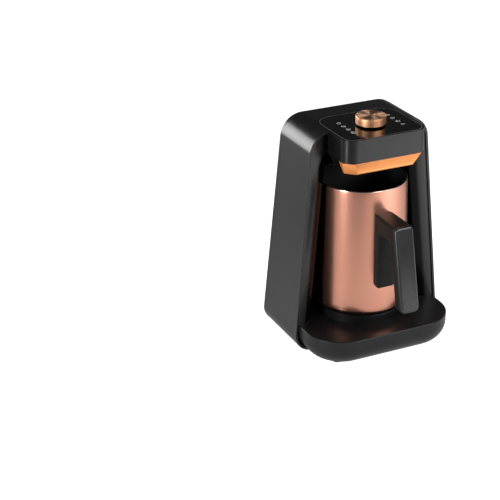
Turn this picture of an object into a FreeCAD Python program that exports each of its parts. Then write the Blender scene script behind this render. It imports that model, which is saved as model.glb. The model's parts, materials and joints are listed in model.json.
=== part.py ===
# Electric coffee maker with a lift-out pot: every piece at its real size, in millimetres.
# +Z is up, the front looks towards -Y, and the origin lies on the ground under the middle.
import FreeCAD, Part
import math
import os
import re
import Sketcher
from FreeCAD import Placement, Rotation, Vector

doc = FreeCAD.newDocument("coffee_maker")

# Driving sizes, each written once: name, value, meaning.
SIZES = [
    ("ground_gap", 5.2, "height of the base above the ground"),
    ("top_z", 245.0, "height of the flat top"),
    ("shell_half_low", 86.6, "half width of the sleeve at its bottom"),
    ("shell_half_high", 66.3, "half width of the sleeve at its top"),
    ("shell_wall", 2.4, "wall of the sleeve"),
    ("shell_round_top", 24.3, "outer rounding of the upper corners"),
    ("shell_round_low", 18.2, "outer rounding of the lower corners"),
    ("shell_front_y", 3.1, "front edge of the sleeve at its bottom"),
    ("shell_front_lean", 4.8, "how far the front edge leans back over the height"),
    ("back_y", 85.0, "rearmost face of the back cover at ground level"),
    ("back_lean", 9.8, "how far the back leans forward over the height"),
    ("back_depth", 6.0, "depth of the back cover"),
    ("back_wall", 2.0, "wall of the back cover"),
    ("seam", 0.4, "open seam between sleeve and back cover"),
    ("fit_gap", 0.3, "gap between pieces that sit in each other"),
    ("deck_z", 36.4, "height of the deck"),
    ("base_clear", 5.4, "how far the sides of the base lie inside the sleeve's bottom"),
    ("base_front_y", -52.7, "front edge of the base"),
    ("base_back_y", 76.4, "rear edge of the base inside the sleeve"),
    ("base_corner", 41.0, "front corner radius of the base"),
    ("base_round", 22.0, "rounding of the lower edge of the base"),
    ("base_wall", 2.4, "wall of the base"),
    ("pan_thick", 2.0, "thickness of the bottom plate"),
    ("foot_r", 6.5, "radius of a foot"),
    ("foot_front_in", 32.9, "front feet, distance inside the sides of the base"),
    ("foot_front_back", 32.4, "front feet, distance behind the front edge"),
    ("foot_rear_in", 27.2, "rear feet, distance inside the sides of the base"),
    ("foot_rear_front", 16.4, "rear feet, distance before the rear edge"),
    ("door_half_low", 65.7, "half width of the alcove at the deck"),
    ("door_half_high", 47.2, "half width of the alcove at its ceiling"),
    ("door_round", 18.0, "rounding of the alcove's upper corners"),
    ("liner_wall", 1.5, "wall of the alcove liner"),
    ("liner_inset", 1.6, "how far the liner's frame lies behind the sleeve's edge"),
    ("frame_depth", 8.0, "depth of the liner's front frame"),
    ("bevel_wide", 9.5, "width of the slanted band round the alcove"),
    ("bevel_deep", 5.5, "depth of the slanted band round the alcove"),
    ("alcove_back_y", 75.4, "rear wall of the alcove at the deck"),
    ("alcove_back_lean", 7.2, "how far that wall leans forward up to the top"),
    ("pot_y", 21.6, "pot axis along Y"),
    ("pot_floor_z", 47.6, "underside of the pot's bowl"),
    ("pot_top_z", 185.0, "pot rim"),
    ("pot_r_low", 49.9, "outer radius of the pot at its bottom"),
    ("pot_r_high", 46.8, "outer radius of the pot at its rim"),
    ("pot_wall", 1.2, "wall of the pot"),
    ("pot_round", 4.0, "rounding of the pot's lower edge"),
    ("disc_r", 42.0, "radius of the disc under the pot"),
    ("disc_thick", 1.6, "thickness of the disc under the pot"),
    ("plate_gap", 0.3, "gap between hot plate and pot at rest"),
    ("plate_thick", 3.2, "thickness of the hot plate"),
    ("plate_r", 40.6, "radius of the hot plate"),
    ("collar_r", 47.0, "outer radius of the collar round the hot plate"),
    ("collar_drop", 0.5, "how far the collar lies below the hot plate"),
    ("spigot_r", 44.2, "radius of the collar's spigot in the deck"),
    ("ledge_r", 37.6, "inner radius of the collar's ledge"),
    ("element_r", 26.0, "ring radius of the heating element"),
    ("tube_r", 3.2, "tube radius of the heating element"),
    ("sensor_r", 7.0, "radius of the sensor cap"),
    ("run_fit", 0.05, "radial clearance of a running fit"),
    ("spring_wire_r", 0.45, "radius of the sensor spring's wire"),
    ("sensor_travel", 1.5, "travel of the sensor cap"),
    ("guide_wall", 2.0, "wall of the sensor guide"),
    ("guide_floor_z", 28.6, "underside of the sensor guide"),
    ("head_half", 46.7, "half width of the control head"),
    ("head_front_y", -29.8, "front face of the control head"),
    ("head_back_y", 49.2, "rear end of the control head"),
    ("head_deep", 24.2, "height of the control head"),
    ("head_round_front", 13.7, "front corner radius of the control head"),
    ("head_round_back", 20.8, "rear corner radius of the control head"),
    ("head_wall", 2.4, "wall of the control head"),
    ("panel_thick", 1.9, "thickness of the touch panel"),
    ("panel_inset", 1.6, "rim of the head round the touch panel"),
    ("trim_high", 13.8, "height of the trim band and the gap over it"),
    ("trim_inset", 5.5, "how far the trim band draws in at its lower edge"),
    ("trim_wall", 2.4, "wall of the trim band"),
    ("trim_deep", 16.2, "how far the trim band reaches back round the corners"),
    ("belly_back_y", 6.4, "rear end of the head's underside"),
    ("knob_y", 6.7, "knob axis along Y"),
    ("knob_r", 15.45, "radius of the knob"),
    ("knob_gap", 1.5, "gap between the flat top and the knob"),
    ("knob_high", 8.8, "height of the knob"),
    ("knob_wall", 1.8, "wall of the knob"),
    ("hub_r", 6.0, "radius of the knob's hub"),
    ("shaft_r", 2.0, "radius of the encoder shaft"),
    ("plunger_r", 3.0, "outer radius of the push sleeve"),
    ("bush_r", 3.9, "outer radius of the encoder bushing"),
    ("nut_r", 6.2, "radius of the encoder nut"),
    ("push_travel", 0.6, "travel of the push knob"),
    ("board_drop", 11.0, "depth of the control board below the flat top"),
    ("board_thick", 1.6, "thickness of a circuit board"),
    ("power_z", 12.0, "underside of the power board"),
    ("pad_low_z", 77.0, "lower end of the handle pad"),
    ("pad_half", 11.0, "half width of the handle pad"),
    ("pad_thick", 6.6, "thickness of the handle pad"),
    ("arm_top_z", 160.0, "top of the handle arm"),
    ("arm_deep", 20.0, "height of the handle arm"),
    ("grip_half", 10.4, "half width of the grip"),
    ("grip_top_y", -64.4, "outer face of the grip at its top"),
    ("grip_low_y", -85.0, "outer face of the grip at its bottom"),
    ("grip_low_z", 72.0, "lower end of the grip"),
    ("grip_deep", 14.0, "depth of the grip"),
    ("cover_thick", 2.2, "thickness of the grip's outer cover"),
    ("strap_half", 7.0, "half width of the welded strap"),
    ("strap_thick", 1.2, "thickness of the welded strap"),
    ("gland_x", 44.0, "cord entry, distance from the middle"),
    ("gland_z", 21.0, "height of the cord entry"),
    ("gland_r", 6.0, "radius of the cord gland"),
    ("cord_r", 3.6, "radius of the cord entry's bore"),
    ("screw_r", 1.5, "radius of a screw shank"),
    ("head_r", 3.0, "radius of a screw head"),
    ("screw_gap", 0.12, "gap round a screw"),
]
V = {name: value for name, value, meaning in SIZES}

sheet = doc.addObject("Spreadsheet::Sheet", "Sizes")
for row, (name, value, meaning) in enumerate(SIZES, start=1):
    sheet.set("A%d" % row, meaning)
    sheet.set("B%d" % row, str(value))
    sheet.setAlias("B%d" % row, name)
doc.recompute()

NODES = []
WIDE = "100"


# Words in a formula stand for cells of the sheet.
def cells(formula):
    return re.sub(r"[a-z][a-z0-9_]+", lambda word: "Sizes." + word.group(0), formula)


def keep(piece, label):
    piece.Label = label
    NODES.append(piece)
    return piece


def new_body(label):
    return keep(doc.addObject("PartDesign::Body", label), label)


def new_sketch(body, name, role, level):
    sketch = body.newObject("Sketcher::SketchObject", name)
    plane = [item for item in body.Origin.OriginFeatures if item.Role == role][0]
    sketch.AttachmentSupport = [(plane, "")]
    sketch.MapMode = "FlatFace"
    sign = "-1" if role == "XZ_Plane" else "1"
    sketch.setExpression("AttachmentOffset.Base.z", "(%s) * %s" % (cells(level), sign))
    return sketch


# Every corner of the outline is held by its two formulas.
def add_polygon(sketch, corners):
    first = sketch.GeometryCount
    count = len(corners)
    turns = [2 * math.pi * i / count for i in range(count)]
    spots = [Vector(60 * math.cos(a), 60 * math.sin(a), 0) for a in turns]
    sides = [Part.LineSegment(spots[i], spots[(i + 1) % count]) for i in range(count)]
    sketch.addGeometry(sides, False)
    joins = []
    for i in range(count):
        joins.append(Sketcher.Constraint("Coincident", first + i, 2, first + (i + 1) % count, 1))
    sketch.addConstraint(joins)
    for i, (along, up) in enumerate(corners):
        for kind, formula, start in (("DistanceX", along, spots[i].x), ("DistanceY", up, spots[i].y)):
            rule = Sketcher.Constraint(kind, -1, 1, first + i, 1, start)
            number = sketch.addConstraint(rule)
            sketch.setExpression("Constraints[%d]" % number, cells(formula))


def add_circle(sketch, along, up, radius):
    item = sketch.addGeometry(Part.Circle(Vector(3, 3, 0), Vector(0, 0, 1), 2), False)
    for kind, formula in (("DistanceX", along), ("DistanceY", up)):
        number = sketch.addConstraint(Sketcher.Constraint(kind, -1, 1, item, 3, 3))
        sketch.setExpression("Constraints[%d]" % number, cells(formula))
    number = sketch.addConstraint(Sketcher.Constraint("Radius", item, 2))
    sketch.setExpression("Constraints[%d]" % number, cells(radius))


def draw(sketch, outlines):
    for outline in outlines:
        if isinstance(outline, list):
            add_polygon(sketch, outline)
        else:
            add_circle(sketch, *outline)


# A prism from one level to another along the axis across the sketch plane.
def extrude(body, kind, name, role, outlines, low, high):
    sketch = new_sketch(body, name + "_outline", role, low)
    draw(sketch, outlines)
    feature = body.newObject("PartDesign::" + kind, name)
    feature.Profile = sketch
    feature.setExpression("Length", "(%s) - (%s)" % (cells(high), cells(low)))
    feature.Reversed = (role == "XZ_Plane") == (kind == "Pad")
    before = body.Shape.Volume if body.Shape and not body.Shape.isNull() else 0
    doc.recompute()
    change = body.Shape.Volume - before
    if (change > 0) != (kind == "Pad"):
        raise RuntimeError("%s of %s changes the volume by %.1f, %s, %s" % (
            name, body.Label, change, feature.State, feature.getStatusString()))
    return feature


def pad(body, name, role, outlines, low, high):
    return extrude(body, "Pad", name, role, outlines, low, high)


def cut(body, name, role, outlines, low, high):
    return extrude(body, "Pocket", name, role, outlines, low, high)


# A turned form round the upright axis at x = 0 and the given y.
def turned(body, kind, name, profile, axis_y):
    sketch = new_sketch(body, name + "_outline", "XZ_Plane", axis_y)
    add_polygon(sketch, profile)
    feature = body.newObject("PartDesign::" + kind, name)
    feature.Profile = sketch
    feature.ReferenceAxis = (sketch, ["V_Axis"])
    feature.Angle = 360
    doc.recompute()
    return feature


def picked(shape, test):
    names = []
    for number, edge in enumerate(shape.Edges, start=1):
        if test(edge):
            names.append("Edge%d" % number)
    return names


def along(axis, edge):
    if len(edge.Vertexes) < 2:
        return False
    run = edge.Vertexes[-1].Point - edge.Vertexes[0].Point
    straight = abs(run.Length - edge.Length) < 0.01
    return straight and abs(abs(run.normalize().dot(axis)) - 1) < 0.02


X = Vector(1, 0, 0)
Y = Vector(0, 1, 0)
Z = Vector(0, 0, 1)


def dress(body, kind, name, size, test):
    base = body.Tip
    feature = body.newObject("PartDesign::" + kind, name)
    feature.Base = (base, picked(base.Shape, test))
    size_name = "Radius" if kind == "Fillet" else "Size"
    feature.setExpression(size_name, cells(size))
    doc.recompute()
    if "Invalid" in feature.State:
        raise RuntimeError("%s: %s, %s" % (name, feature.getStatusString(), feature.Base))
    return feature


def rounded(body, name, size, test):
    return dress(body, "Fillet", name, size, test)


def middle(edge):
    return edge.CenterOfMass


# Simple solids bound to the sheet, for parts with no outline of their own.
def primitive(kind, name, sizes, place, turn=None):
    item = doc.addObject("Part::" + kind, name)
    if turn is not None:
        item.Placement = Placement(Vector(0, 0, 0), turn)
    for key, formula in sizes.items():
        item.setExpression(key, cells(formula))
    for key, formula in zip("xyz", place):
        item.setExpression("Placement.Base." + key, cells(formula))
    return item


def block(name, size, corner):
    return primitive("Box", name, dict(zip(("Length", "Width", "Height"), size)), corner)


def rod(name, radius, length, place, turn=None):
    return primitive("Cylinder", name, {"Radius": radius, "Height": length}, place, turn)


def fuse(name, items):
    item = doc.addObject("Part::MultiFuse", name)
    item.Shapes = items
    return item


def carve(name, base, tools):
    item = doc.addObject("Part::Cut", name)
    item.Base = base
    item.Tool = tools[0] if len(tools) == 1 else fuse(name + "_tools", tools)
    return item


def ring(name, outer, inner, length, place, turn=None):
    solid = rod(name + "_solid", outer, length, place, turn)
    bore = rod(name + "_bore", inner, length, place, turn)
    return carve(name, solid, [bore])


TO_BACK = Rotation(Vector(1, 0, 0), -90)

# Half width of the sleeve at a height, and the corners of its outline drawn in by an offset.
SLOPE = "((shell_half_low - shell_half_high) / (top_z - ground_gap))"


def sleeve_half(height, offset):
    return "shell_half_low - ((%s) - ground_gap) * %s - (%s)" % (height, SLOPE, offset)


def sleeve_outline(offset, low):
    bottom = "%s + (%s)" % (low, offset)
    top = "top_z - (%s)" % offset
    return [
        ("-(%s)" % sleeve_half(bottom, offset), bottom),
        (sleeve_half(bottom, offset), bottom),
        (sleeve_half(top, offset), top),
        ("-(%s)" % sleeve_half(top, offset), top),
    ]


def door_half(height, offset):
    slope = "((door_half_low - door_half_high) / ((top_z - head_deep - liner_wall - fit_gap) - deck_z))"
    return "door_half_low - ((%s) - deck_z) * %s + (%s)" % (height, slope, offset)


def door_outline(offset, low):
    top = "(top_z - head_deep - liner_wall - fit_gap) + (%s)" % offset
    return [
        ("-(%s)" % door_half(low, offset), low),
        (door_half(low, offset), low),
        (door_half(top, offset), top),
        ("-(%s)" % door_half(top, offset), top),
    ]


FRONT_SLOPE = "(shell_front_lean / (top_z - ground_gap))"
BACK_SLOPE = "(back_lean / top_z)"


def front_y(height):
    return "shell_front_y + ((%s) - ground_gap) * %s" % (height, FRONT_SLOPE)


def sleeve_back_y(height):
    return "back_y - back_depth - (%s) * %s" % (height, BACK_SLOPE)


def corner_edges(upper):
    level = V["top_z"] if upper else V["ground_gap"]
    return lambda edge: along(Y, edge) and abs(middle(edge).z - level) < 0.01


# Outer sleeve
outer_shell = new_body("outer_shell")
pad(outer_shell, "sleeve_block", "XZ_Plane", [sleeve_outline("0", "ground_gap")], "-10", "90")
cut(outer_shell, "sleeve_hollow", "XZ_Plane", [sleeve_outline("shell_wall", "ground_gap")], "-10", "90")


def inner_corner(upper):
    level = V["top_z"] - V["shell_wall"] if upper else V["ground_gap"] + V["shell_wall"]
    return lambda edge: along(Y, edge) and abs(middle(edge).z - level) < 0.01


rounded(outer_shell, "hollow_top_round", "shell_round_top - shell_wall", inner_corner(True))
rounded(outer_shell, "hollow_low_round", "shell_round_low - shell_wall", inner_corner(False))
rounded(outer_shell, "sleeve_top_round", "shell_round_top", corner_edges(True))
rounded(outer_shell, "sleeve_low_round", "shell_round_low", corner_edges(False))
front_waste = [("-20", "0"), (front_y("0"), "0"), (front_y("260"), "260"), ("-20", "260")]
back_waste = [("100", "0"), ("100", "260"), (sleeve_back_y("260"), "260"), (sleeve_back_y("0"), "0")]
cut(outer_shell, "front_edge", "YZ_Plane", [front_waste, back_waste], "-" + WIDE, WIDE)
head_slot = [
    ("-(head_half + fit_gap)", "-20"),
    ("head_half + fit_gap", "-20"),
    ("head_half + fit_gap", "head_back_y + fit_gap"),
    ("-(head_half + fit_gap)", "head_back_y + fit_gap"),
]
cut(outer_shell, "head_notch", "XY_Plane", [head_slot], "top_z - 12", "top_z + 5")
rounded(
    outer_shell, "notch_round", "head_round_back + fit_gap",
    lambda edge: (
        along(Z, edge) and middle(edge).y > V["head_back_y"] - 1 and abs(middle(edge).x) < V["head_half"] + 1
    ),
)
screw_x = "(shell_half_low - base_clear - foot_rear_in - 3.8)"
screw_spots = [(screw_x, "36"), ("-" + screw_x, "36")]
cut(
    outer_shell, "floor_holes", "XY_Plane",
    [(x, y, "screw_r + screw_gap") for x, y in screw_spots], "0", "ground_gap + shell_wall + 1",
)

# Alcove liner: a tunnel with a frame round its mouth and a wall at the back
alcove_liner = new_body("alcove_liner")
liner_edge = "shell_wall + fit_gap"
frame_side = [
    (front_y("deck_z") + " + liner_inset", "deck_z"),
    (front_y("deck_z") + " + liner_inset + frame_depth", "deck_z"),
    (front_y("top_z") + " + liner_inset + frame_depth", "top_z"),
    (front_y("top_z") + " + liner_inset", "top_z"),
]
pad(alcove_liner, "frame_slab", "YZ_Plane", [frame_side], "-" + WIDE, WIDE)


# A rounded prism as wide as the alcove, used to add and to cut.
def door_form(name, offset, low, high):
    form = doc.addObject("PartDesign::Body", name)
    pad(form, name + "_prism", "XZ_Plane", [door_outline(offset, "deck_z")], low, high)
    rounded(
        form, name + "_round", "door_round + (%s)" % offset,
        lambda edge: (
        along(Y, edge) and middle(edge).z > (V["top_z"] - V["head_deep"] - V["liner_wall"] - V["fit_gap"]) - 1
    ),
    )
    return form


def combine(body, name, kind, form):
    feature = body.newObject("PartDesign::Boolean", name)
    feature.setObjects([form])
    feature.Type = kind
    doc.recompute()
    return feature


combine(alcove_liner, "tunnel_block", "Fuse", door_form("tunnel_outside", "liner_wall", "9", "90"))
combine(alcove_liner, "tunnel", "Cut", door_form("tunnel_inside", "0", "-10", "95"))


def mouth_edge(edge):
    spot = middle(edge)
    front = V["shell_front_y"] + V["liner_inset"] + (spot.z - V["ground_gap"]) * 0.02
    inside = (
        abs(spot.x) < V["door_half_low"] + 0.5
        and spot.z < (V["top_z"] - V["head_deep"] - V["liner_wall"] - V["fit_gap"]) + 0.5
    )
    return abs(spot.y - front) < 0.4 and inside and not (along(X, edge) and spot.z < V["deck_z"] + 1)


mouth_base = alcove_liner.Tip
mouth = alcove_liner.newObject("PartDesign::Chamfer", "mouth_bevel")
mouth.Base = (mouth_base, picked(mouth_base.Shape, mouth_edge))
mouth.ChamferType = "Two distances"
mouth.setExpression("Size", cells("bevel_wide"))
mouth.setExpression("Size2", cells("bevel_deep"))
doc.recompute()

wall_slope = "(alcove_back_lean / (top_z - deck_z))"


def alcove_back(height, offset):
    return "alcove_back_y - ((%s) - deck_z) * %s + (%s)" % (height, wall_slope, offset)


tail_waste = [
    (alcove_back("0", "0.8"), "0"),
    ("110", "0"),
    ("110", "260"),
    (alcove_back("260", "0.8"), "260"),
]
cut(alcove_liner, "tunnel_end", "YZ_Plane", [tail_waste], "-" + WIDE, WIDE)
wall_side = [
    (alcove_back("deck_z", "0"), "deck_z"),
    (alcove_back("deck_z", "liner_wall"), "deck_z"),
    (
        alcove_back("(top_z - head_deep - liner_wall - fit_gap) + 12", "liner_wall"),
        "(top_z - head_deep - liner_wall - fit_gap) + 12",
    ),
    (
        alcove_back("(top_z - head_deep - liner_wall - fit_gap) + 12", "0"),
        "(top_z - head_deep - liner_wall - fit_gap) + 12",
    ),
]
pad(alcove_liner, "back_slab", "YZ_Plane", [wall_side], "-" + WIDE, WIDE)
outside = [("-150", "-10"), ("150", "-10"), ("150", "300"), ("-150", "300")]
cut(
    alcove_liner,
    "liner_outline",
    "XZ_Plane",
    [outside, sleeve_outline(liner_edge, "ground_gap")],
    "-20",
    "100",
)


def liner_top_corner(edge):
    spot = middle(edge)
    high = spot.z > V["top_z"] - V["shell_wall"] - 1
    return along(Y, edge) and high and abs(spot.x) > 50


rounded(alcove_liner, "liner_top_round", "shell_round_top - shell_wall - fit_gap", liner_top_corner)
notch = [
    ("-(head_half + fit_gap)", "(top_z - head_deep) - fit_gap"),
    ("head_half + fit_gap", "(top_z - head_deep) - fit_gap"),
    ("head_half + fit_gap", "270"),
    ("-(head_half + fit_gap)", "270"),
]
cut(alcove_liner, "liner_notch", "XZ_Plane", [notch], "-20", "head_back_y + fit_gap")

# Back cover, modelled upright and leaned with the back of the sleeve
rear_cover = new_body("rear_cover")
lean_angle = math.degrees(math.atan(V["back_lean"] / V["top_z"]))
rear_cover.Placement = Placement(Vector(0, 0, 0), Rotation(Vector(1, 0, 0), lean_angle))
rear_cover.setExpression("Placement.Base.y", cells("back_y"))
pad(rear_cover, "cover_block", "XZ_Plane", [sleeve_outline("0", "ground_gap")], "-(back_depth - seam)", "0")
cut(
    rear_cover,
    "cover_hollow",
    "XZ_Plane",
    [sleeve_outline("shell_wall", "ground_gap")],
    "-20",
    "-back_wall",
)
rounded(rear_cover, "cover_inner_top", "shell_round_top - shell_wall", inner_corner(True))
rounded(rear_cover, "cover_inner_low", "shell_round_low - shell_wall", inner_corner(False))
rounded(rear_cover, "cover_top_round", "shell_round_top", corner_edges(True))
rounded(rear_cover, "cover_low_round", "shell_round_low", corner_edges(False))
rounded(
    rear_cover, "cover_edge", "1.6",
    lambda edge: abs(middle(edge).y) < 0.01 and not along(Y, edge),
)
slots = []
for column in range(9):
    left = -24 + 6 * column - 1.1
    for low, high in ((13.0, 30.0), (224.0, 236.0)):
        slots.append([
            (str(left), str(low)), (str(left + 2.2), str(low)),
            (str(left + 2.2), str(high)), (str(left), str(high)),
        ])
cut(rear_cover, "cover_vents", "XZ_Plane", slots, "-20", "5")
cut(rear_cover, "gland_hole", "XZ_Plane", [("gland_x", "gland_z", "gland_r + 0.15")], "-20", "5")
cover_screw_spots = [(side * 62.0, height) for side in (-1, 1) for height in (60.0, 170.0)]
cut(
    rear_cover, "cover_screw_holes", "XZ_Plane",
    [(str(x), str(z), "screw_r + screw_gap") for x, z in cover_screw_spots], "-20", "5",
)
cut(
    rear_cover, "cover_screw_sinks", "XZ_Plane",
    [(str(x), str(z), "head_r + screw_gap") for x, z in cover_screw_spots], "-1.2", "5",
)

# Screws of the back cover, ending in the rear wall of the liner
lean = Rotation(Vector(1, 0, 0), lean_angle)
pieces = []
for number, (x, z) in enumerate(cover_screw_spots):
    spot = lean.multVec(Vector(x, 0, z))
    place = (str(x), "back_y + (%.3f)" % spot.y, "%.3f" % spot.z)
    forward = lean.multiply(Rotation(Vector(1, 0, 0), 90))
    sunk = lean.multVec(Vector(0, -0.25, 0))
    start = (place[0], "%s + (%.3f)" % (place[1], sunk.y), "%s + (%.3f)" % (place[2], sunk.z))
    pieces.append(rod("cover_screw_head_%d" % number, "head_r", "0.9", start, forward))
    pieces.append(rod("cover_screw_shank_%d" % number, "screw_r", "5.6", start, forward))
keep(fuse("rear_cover_screws", pieces), "rear_cover_screws")

# Base tray with the deck, closed below by the pan and the floor of the sleeve
base_tray = new_body("base_tray")


def base_outline(offset, back="-1"):
    rear = offset if back == "-1" else back
    return [
        ("-((shell_half_low - base_clear) - (%s))" % offset, "base_front_y + (%s)" % offset),
        ("(shell_half_low - base_clear) - (%s)" % offset, "base_front_y + (%s)" % offset),
        ("(shell_half_low - base_clear) - (%s)" % offset, "base_back_y - (%s)" % rear),
        ("-((shell_half_low - base_clear) - (%s))" % offset, "base_back_y - (%s)" % rear),
    ]


def front_corner(edge):
    return along(Z, edge) and middle(edge).y < -20


def hollow_corner(offset):
    return lambda edge: (
        along(Z, edge) and middle(edge).y < -20
        and abs(middle(edge).y - V["base_front_y"] - offset) < 0.3
    )


pad(base_tray, "tray_block", "XY_Plane", [base_outline("0")], "ground_gap", "deck_z")
cut(
    base_tray,
    "tray_hollow",
    "XY_Plane",
    [base_outline("base_wall")],
    "ground_gap + base_round",
    "deck_z - base_wall",
)
rounded(base_tray, "tray_hollow_corners", "base_corner - base_wall", hollow_corner(V["base_wall"]))
cut(
    base_tray,
    "tray_mouth",
    "XY_Plane",
    [base_outline("base_round + 0.1", "base_wall")],
    "0",
    "ground_gap + base_round + 1",
)
rounded(
    base_tray, "tray_mouth_corners", "base_corner - base_round - 0.1",
    lambda edge: along(Z, edge) and abs(middle(edge).y - V["base_front_y"] - V["base_round"] - 0.1) < 0.3,
)
rounded(base_tray, "tray_corners", "base_corner", hollow_corner(0))


def outer_rim(level):
    def test(edge):
        spot = middle(edge)
        outside = (
        abs(spot.x) > (V["shell_half_low"] - V["base_clear"]) - 16
        or spot.y < V["base_front_y"] + 13
    )
        return abs(spot.z - level) < 0.01 and outside and spot.y < V["base_back_y"] - 1
    return test


rounded(base_tray, "tray_low_edge", "base_round", outer_rim(V["ground_gap"]))
rounded(base_tray, "tray_deck_edge", "1.0", outer_rim(V["deck_z"]))
low_rear = [
    ("-" + WIDE, "shell_front_y - fit_gap"),
    (WIDE, "shell_front_y - fit_gap"),
    (WIDE, "99"),
    ("-" + WIDE, "99"),
]
cut(base_tray, "tray_step", "XY_Plane", [low_rear], "0", "ground_gap + shell_wall + fit_gap")
cut(base_tray, "tray_heater_hole", "XY_Plane", [("0", "pot_y", "spigot_r + fit_gap")], "30", "40")
front_x = "(shell_half_low - base_clear - 51)"
front_screws = [("-" + front_x, "base_front_y + 30.7"), (front_x, "base_front_y + 30.7")]
all_screws = front_screws + screw_spots
pad(
    base_tray, "tray_bosses_front", "XY_Plane",
    [(x, y, "screw_r + 2.4") for x, y in front_screws],
    "ground_gap + pan_thick + fit_gap",
    "deck_z - base_wall + 0.5",
)
pad(
    base_tray, "tray_bosses_rear", "XY_Plane",
    [(x, y, "screw_r + 2.4") for x, y in screw_spots],
    "ground_gap + shell_wall + fit_gap",
    "deck_z - base_wall + 0.5",
)
cut(
    base_tray, "tray_pilots", "XY_Plane",
    [(x, y, "screw_r + screw_gap") for x, y in all_screws], "0", "20",
)

# Bottom plate of the base's front half
base_pan = new_body("base_pan")
pan_edge = "base_round + 0.4"
pan_outline = [
    ("-((shell_half_low - base_clear) - (%s))" % pan_edge, "base_front_y + " + pan_edge),
    ("(shell_half_low - base_clear) - (%s)" % pan_edge, "base_front_y + " + pan_edge),
    ("(shell_half_low - base_clear) - (%s)" % pan_edge, "shell_front_y - fit_gap"),
    ("-((shell_half_low - base_clear) - (%s))" % pan_edge, "shell_front_y - fit_gap"),
]
pad(base_pan, "pan_plate", "XY_Plane", [pan_outline], "ground_gap", "ground_gap + pan_thick")
rounded(base_pan, "pan_corners", "base_corner - base_round - 0.4", front_corner)
cut(
    base_pan, "pan_holes", "XY_Plane",
    [(x, y, "screw_r + screw_gap") for x, y in front_screws], "0", "20",
)
pieces = []
for number, (x, y) in enumerate(all_screws):
    pieces.append(rod("base_screw_head_%d" % number, "head_r", "1.4", (x, y, "ground_gap - 1.45")))
    pieces.append(rod("base_screw_shank_%d" % number, "screw_r", "13", (x, y, "ground_gap - 1.45")))
keep(fuse("base_screws", pieces), "base_screws")

# Feet: soft pads with a chamfered lower edge
foot_front_x = "(shell_half_low - base_clear - foot_front_in)"
foot_rear_x = "(shell_half_low - base_clear - foot_rear_in)"
for label, x, y in (
    ("foot_front_left", "-" + foot_front_x, "(base_front_y + foot_front_back)"),
    ("foot_front_right", foot_front_x, "(base_front_y + foot_front_back)"),
    ("foot_rear_left", "-" + foot_rear_x, "(base_back_y - foot_rear_front)"),
    ("foot_rear_right", foot_rear_x, "(base_back_y - foot_rear_front)"),
):
    taper = primitive(
        "Cone", label + "_edge",
        {"Radius1": "foot_r - 0.8", "Radius2": "foot_r", "Height": "1"}, (x, y, "0"),
    )
    pillar = rod(label + "_pillar", "foot_r", "ground_gap - 1", (x, y, "1"))
    keep(fuse(label, [taper, pillar]), label)

# Heater: collar, hot plate, seal, element, bracket and its screws
plate_top = "pot_floor_z - disc_thick - plate_gap"
plate_low = plate_top + " - plate_thick"
ledge_z = plate_low + " - 1.5"
heater_collar = new_body("heater_collar")
turned(heater_collar, "Revolution", "collar_ring", [
    ("ledge_r", "deck_z - 3.2"),
    ("spigot_r", "deck_z - 3.2"),
    ("spigot_r", "deck_z"),
    ("collar_r", "deck_z"),
    ("collar_r", plate_top + " - collar_drop - 1"),
    ("collar_r - 1", plate_top + " - collar_drop"),
    ("plate_r + fit_gap", plate_top + " - collar_drop"),
    ("plate_r + fit_gap", ledge_z),
    ("ledge_r", ledge_z),
], "pot_y")
heater_plate = new_body("heater_plate")
turned(heater_plate, "Revolution", "plate_disc", [
    ("sensor_r + run_fit + guide_wall + 0.1", plate_low),
    ("plate_r", plate_low),
    ("plate_r", plate_top + " - 0.8"),
    ("plate_r - 0.8", plate_top),
    ("sensor_r + run_fit + guide_wall + 0.1", plate_top),
], "pot_y")
plate_screws = []
for turn in (90, 210, 330):
    spot_x = 16.5 * math.cos(math.radians(turn))
    spot_y = 16.5 * math.sin(math.radians(turn))
    plate_screws.append(("%.3f" % spot_x, "pot_y + (%.3f)" % spot_y))
cut(
    heater_plate, "plate_threads", "XY_Plane",
    [(x, y, "screw_r + screw_gap") for x, y in plate_screws], plate_low + " - 1", plate_low + " + 1.8",
)
keep(
    ring("heater_seal", "plate_r - 0.2", "ledge_r + 0.4", "1.4", ("0", "pot_y", ledge_z + " + 0.05")),
    "heater_seal",
)
element_z = plate_low + " - tube_r - 0.1"
loop = primitive(
    "Torus", "element_loop", {"Radius1": "element_r", "Radius2": "tube_r"},
    ("0", "pot_y", element_z), Rotation(Vector(0, 0, 1), 112),
)
loop.Angle3 = 316
pieces = [loop]
for number, turn in enumerate((68, 112)):
    spot_x = "element_r * %.5f" % math.cos(math.radians(turn))
    spot_y = "pot_y + element_r * %.5f" % math.sin(math.radians(turn))
    pieces.append(rod("element_pin_%d" % number, "1.6", "12", (spot_x, spot_y, element_z + " - 12")))
    pieces.append(
        primitive("Sphere", "element_end_%d" % number, {"Radius": "tube_r"}, (spot_x, spot_y, element_z))
    )
keep(fuse("heating_element", pieces), "heating_element")
bracket_top = element_z + " - tube_r - 0.2"
heater_bracket = new_body("heater_bracket")
turned(heater_bracket, "Revolution", "bracket_ring", [
    ("sensor_r + run_fit + guide_wall + 0.2", bracket_top + " - 1.4"),
    ("22", bracket_top + " - 1.4"),
    ("22", bracket_top),
    ("sensor_r + run_fit + guide_wall + 0.2", bracket_top),
], "pot_y")
arms = []
for turn in (30, 150, 270):
    way = Vector(math.cos(math.radians(turn)), math.sin(math.radians(turn)), 0)
    side = Vector(-way.y, way.x, 0) * 5
    near = way * 20 + side
    spots = [way * 20 + side, way * 36 + side, way * 36 - side, way * 20 - side]
    arms.append([("%.3f" % spot.x, "pot_y + (%.3f)" % spot.y) for spot in reversed(spots)])
pad(heater_bracket, "bracket_arms", "XY_Plane", arms, bracket_top + " - 1.4", bracket_top)
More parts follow.
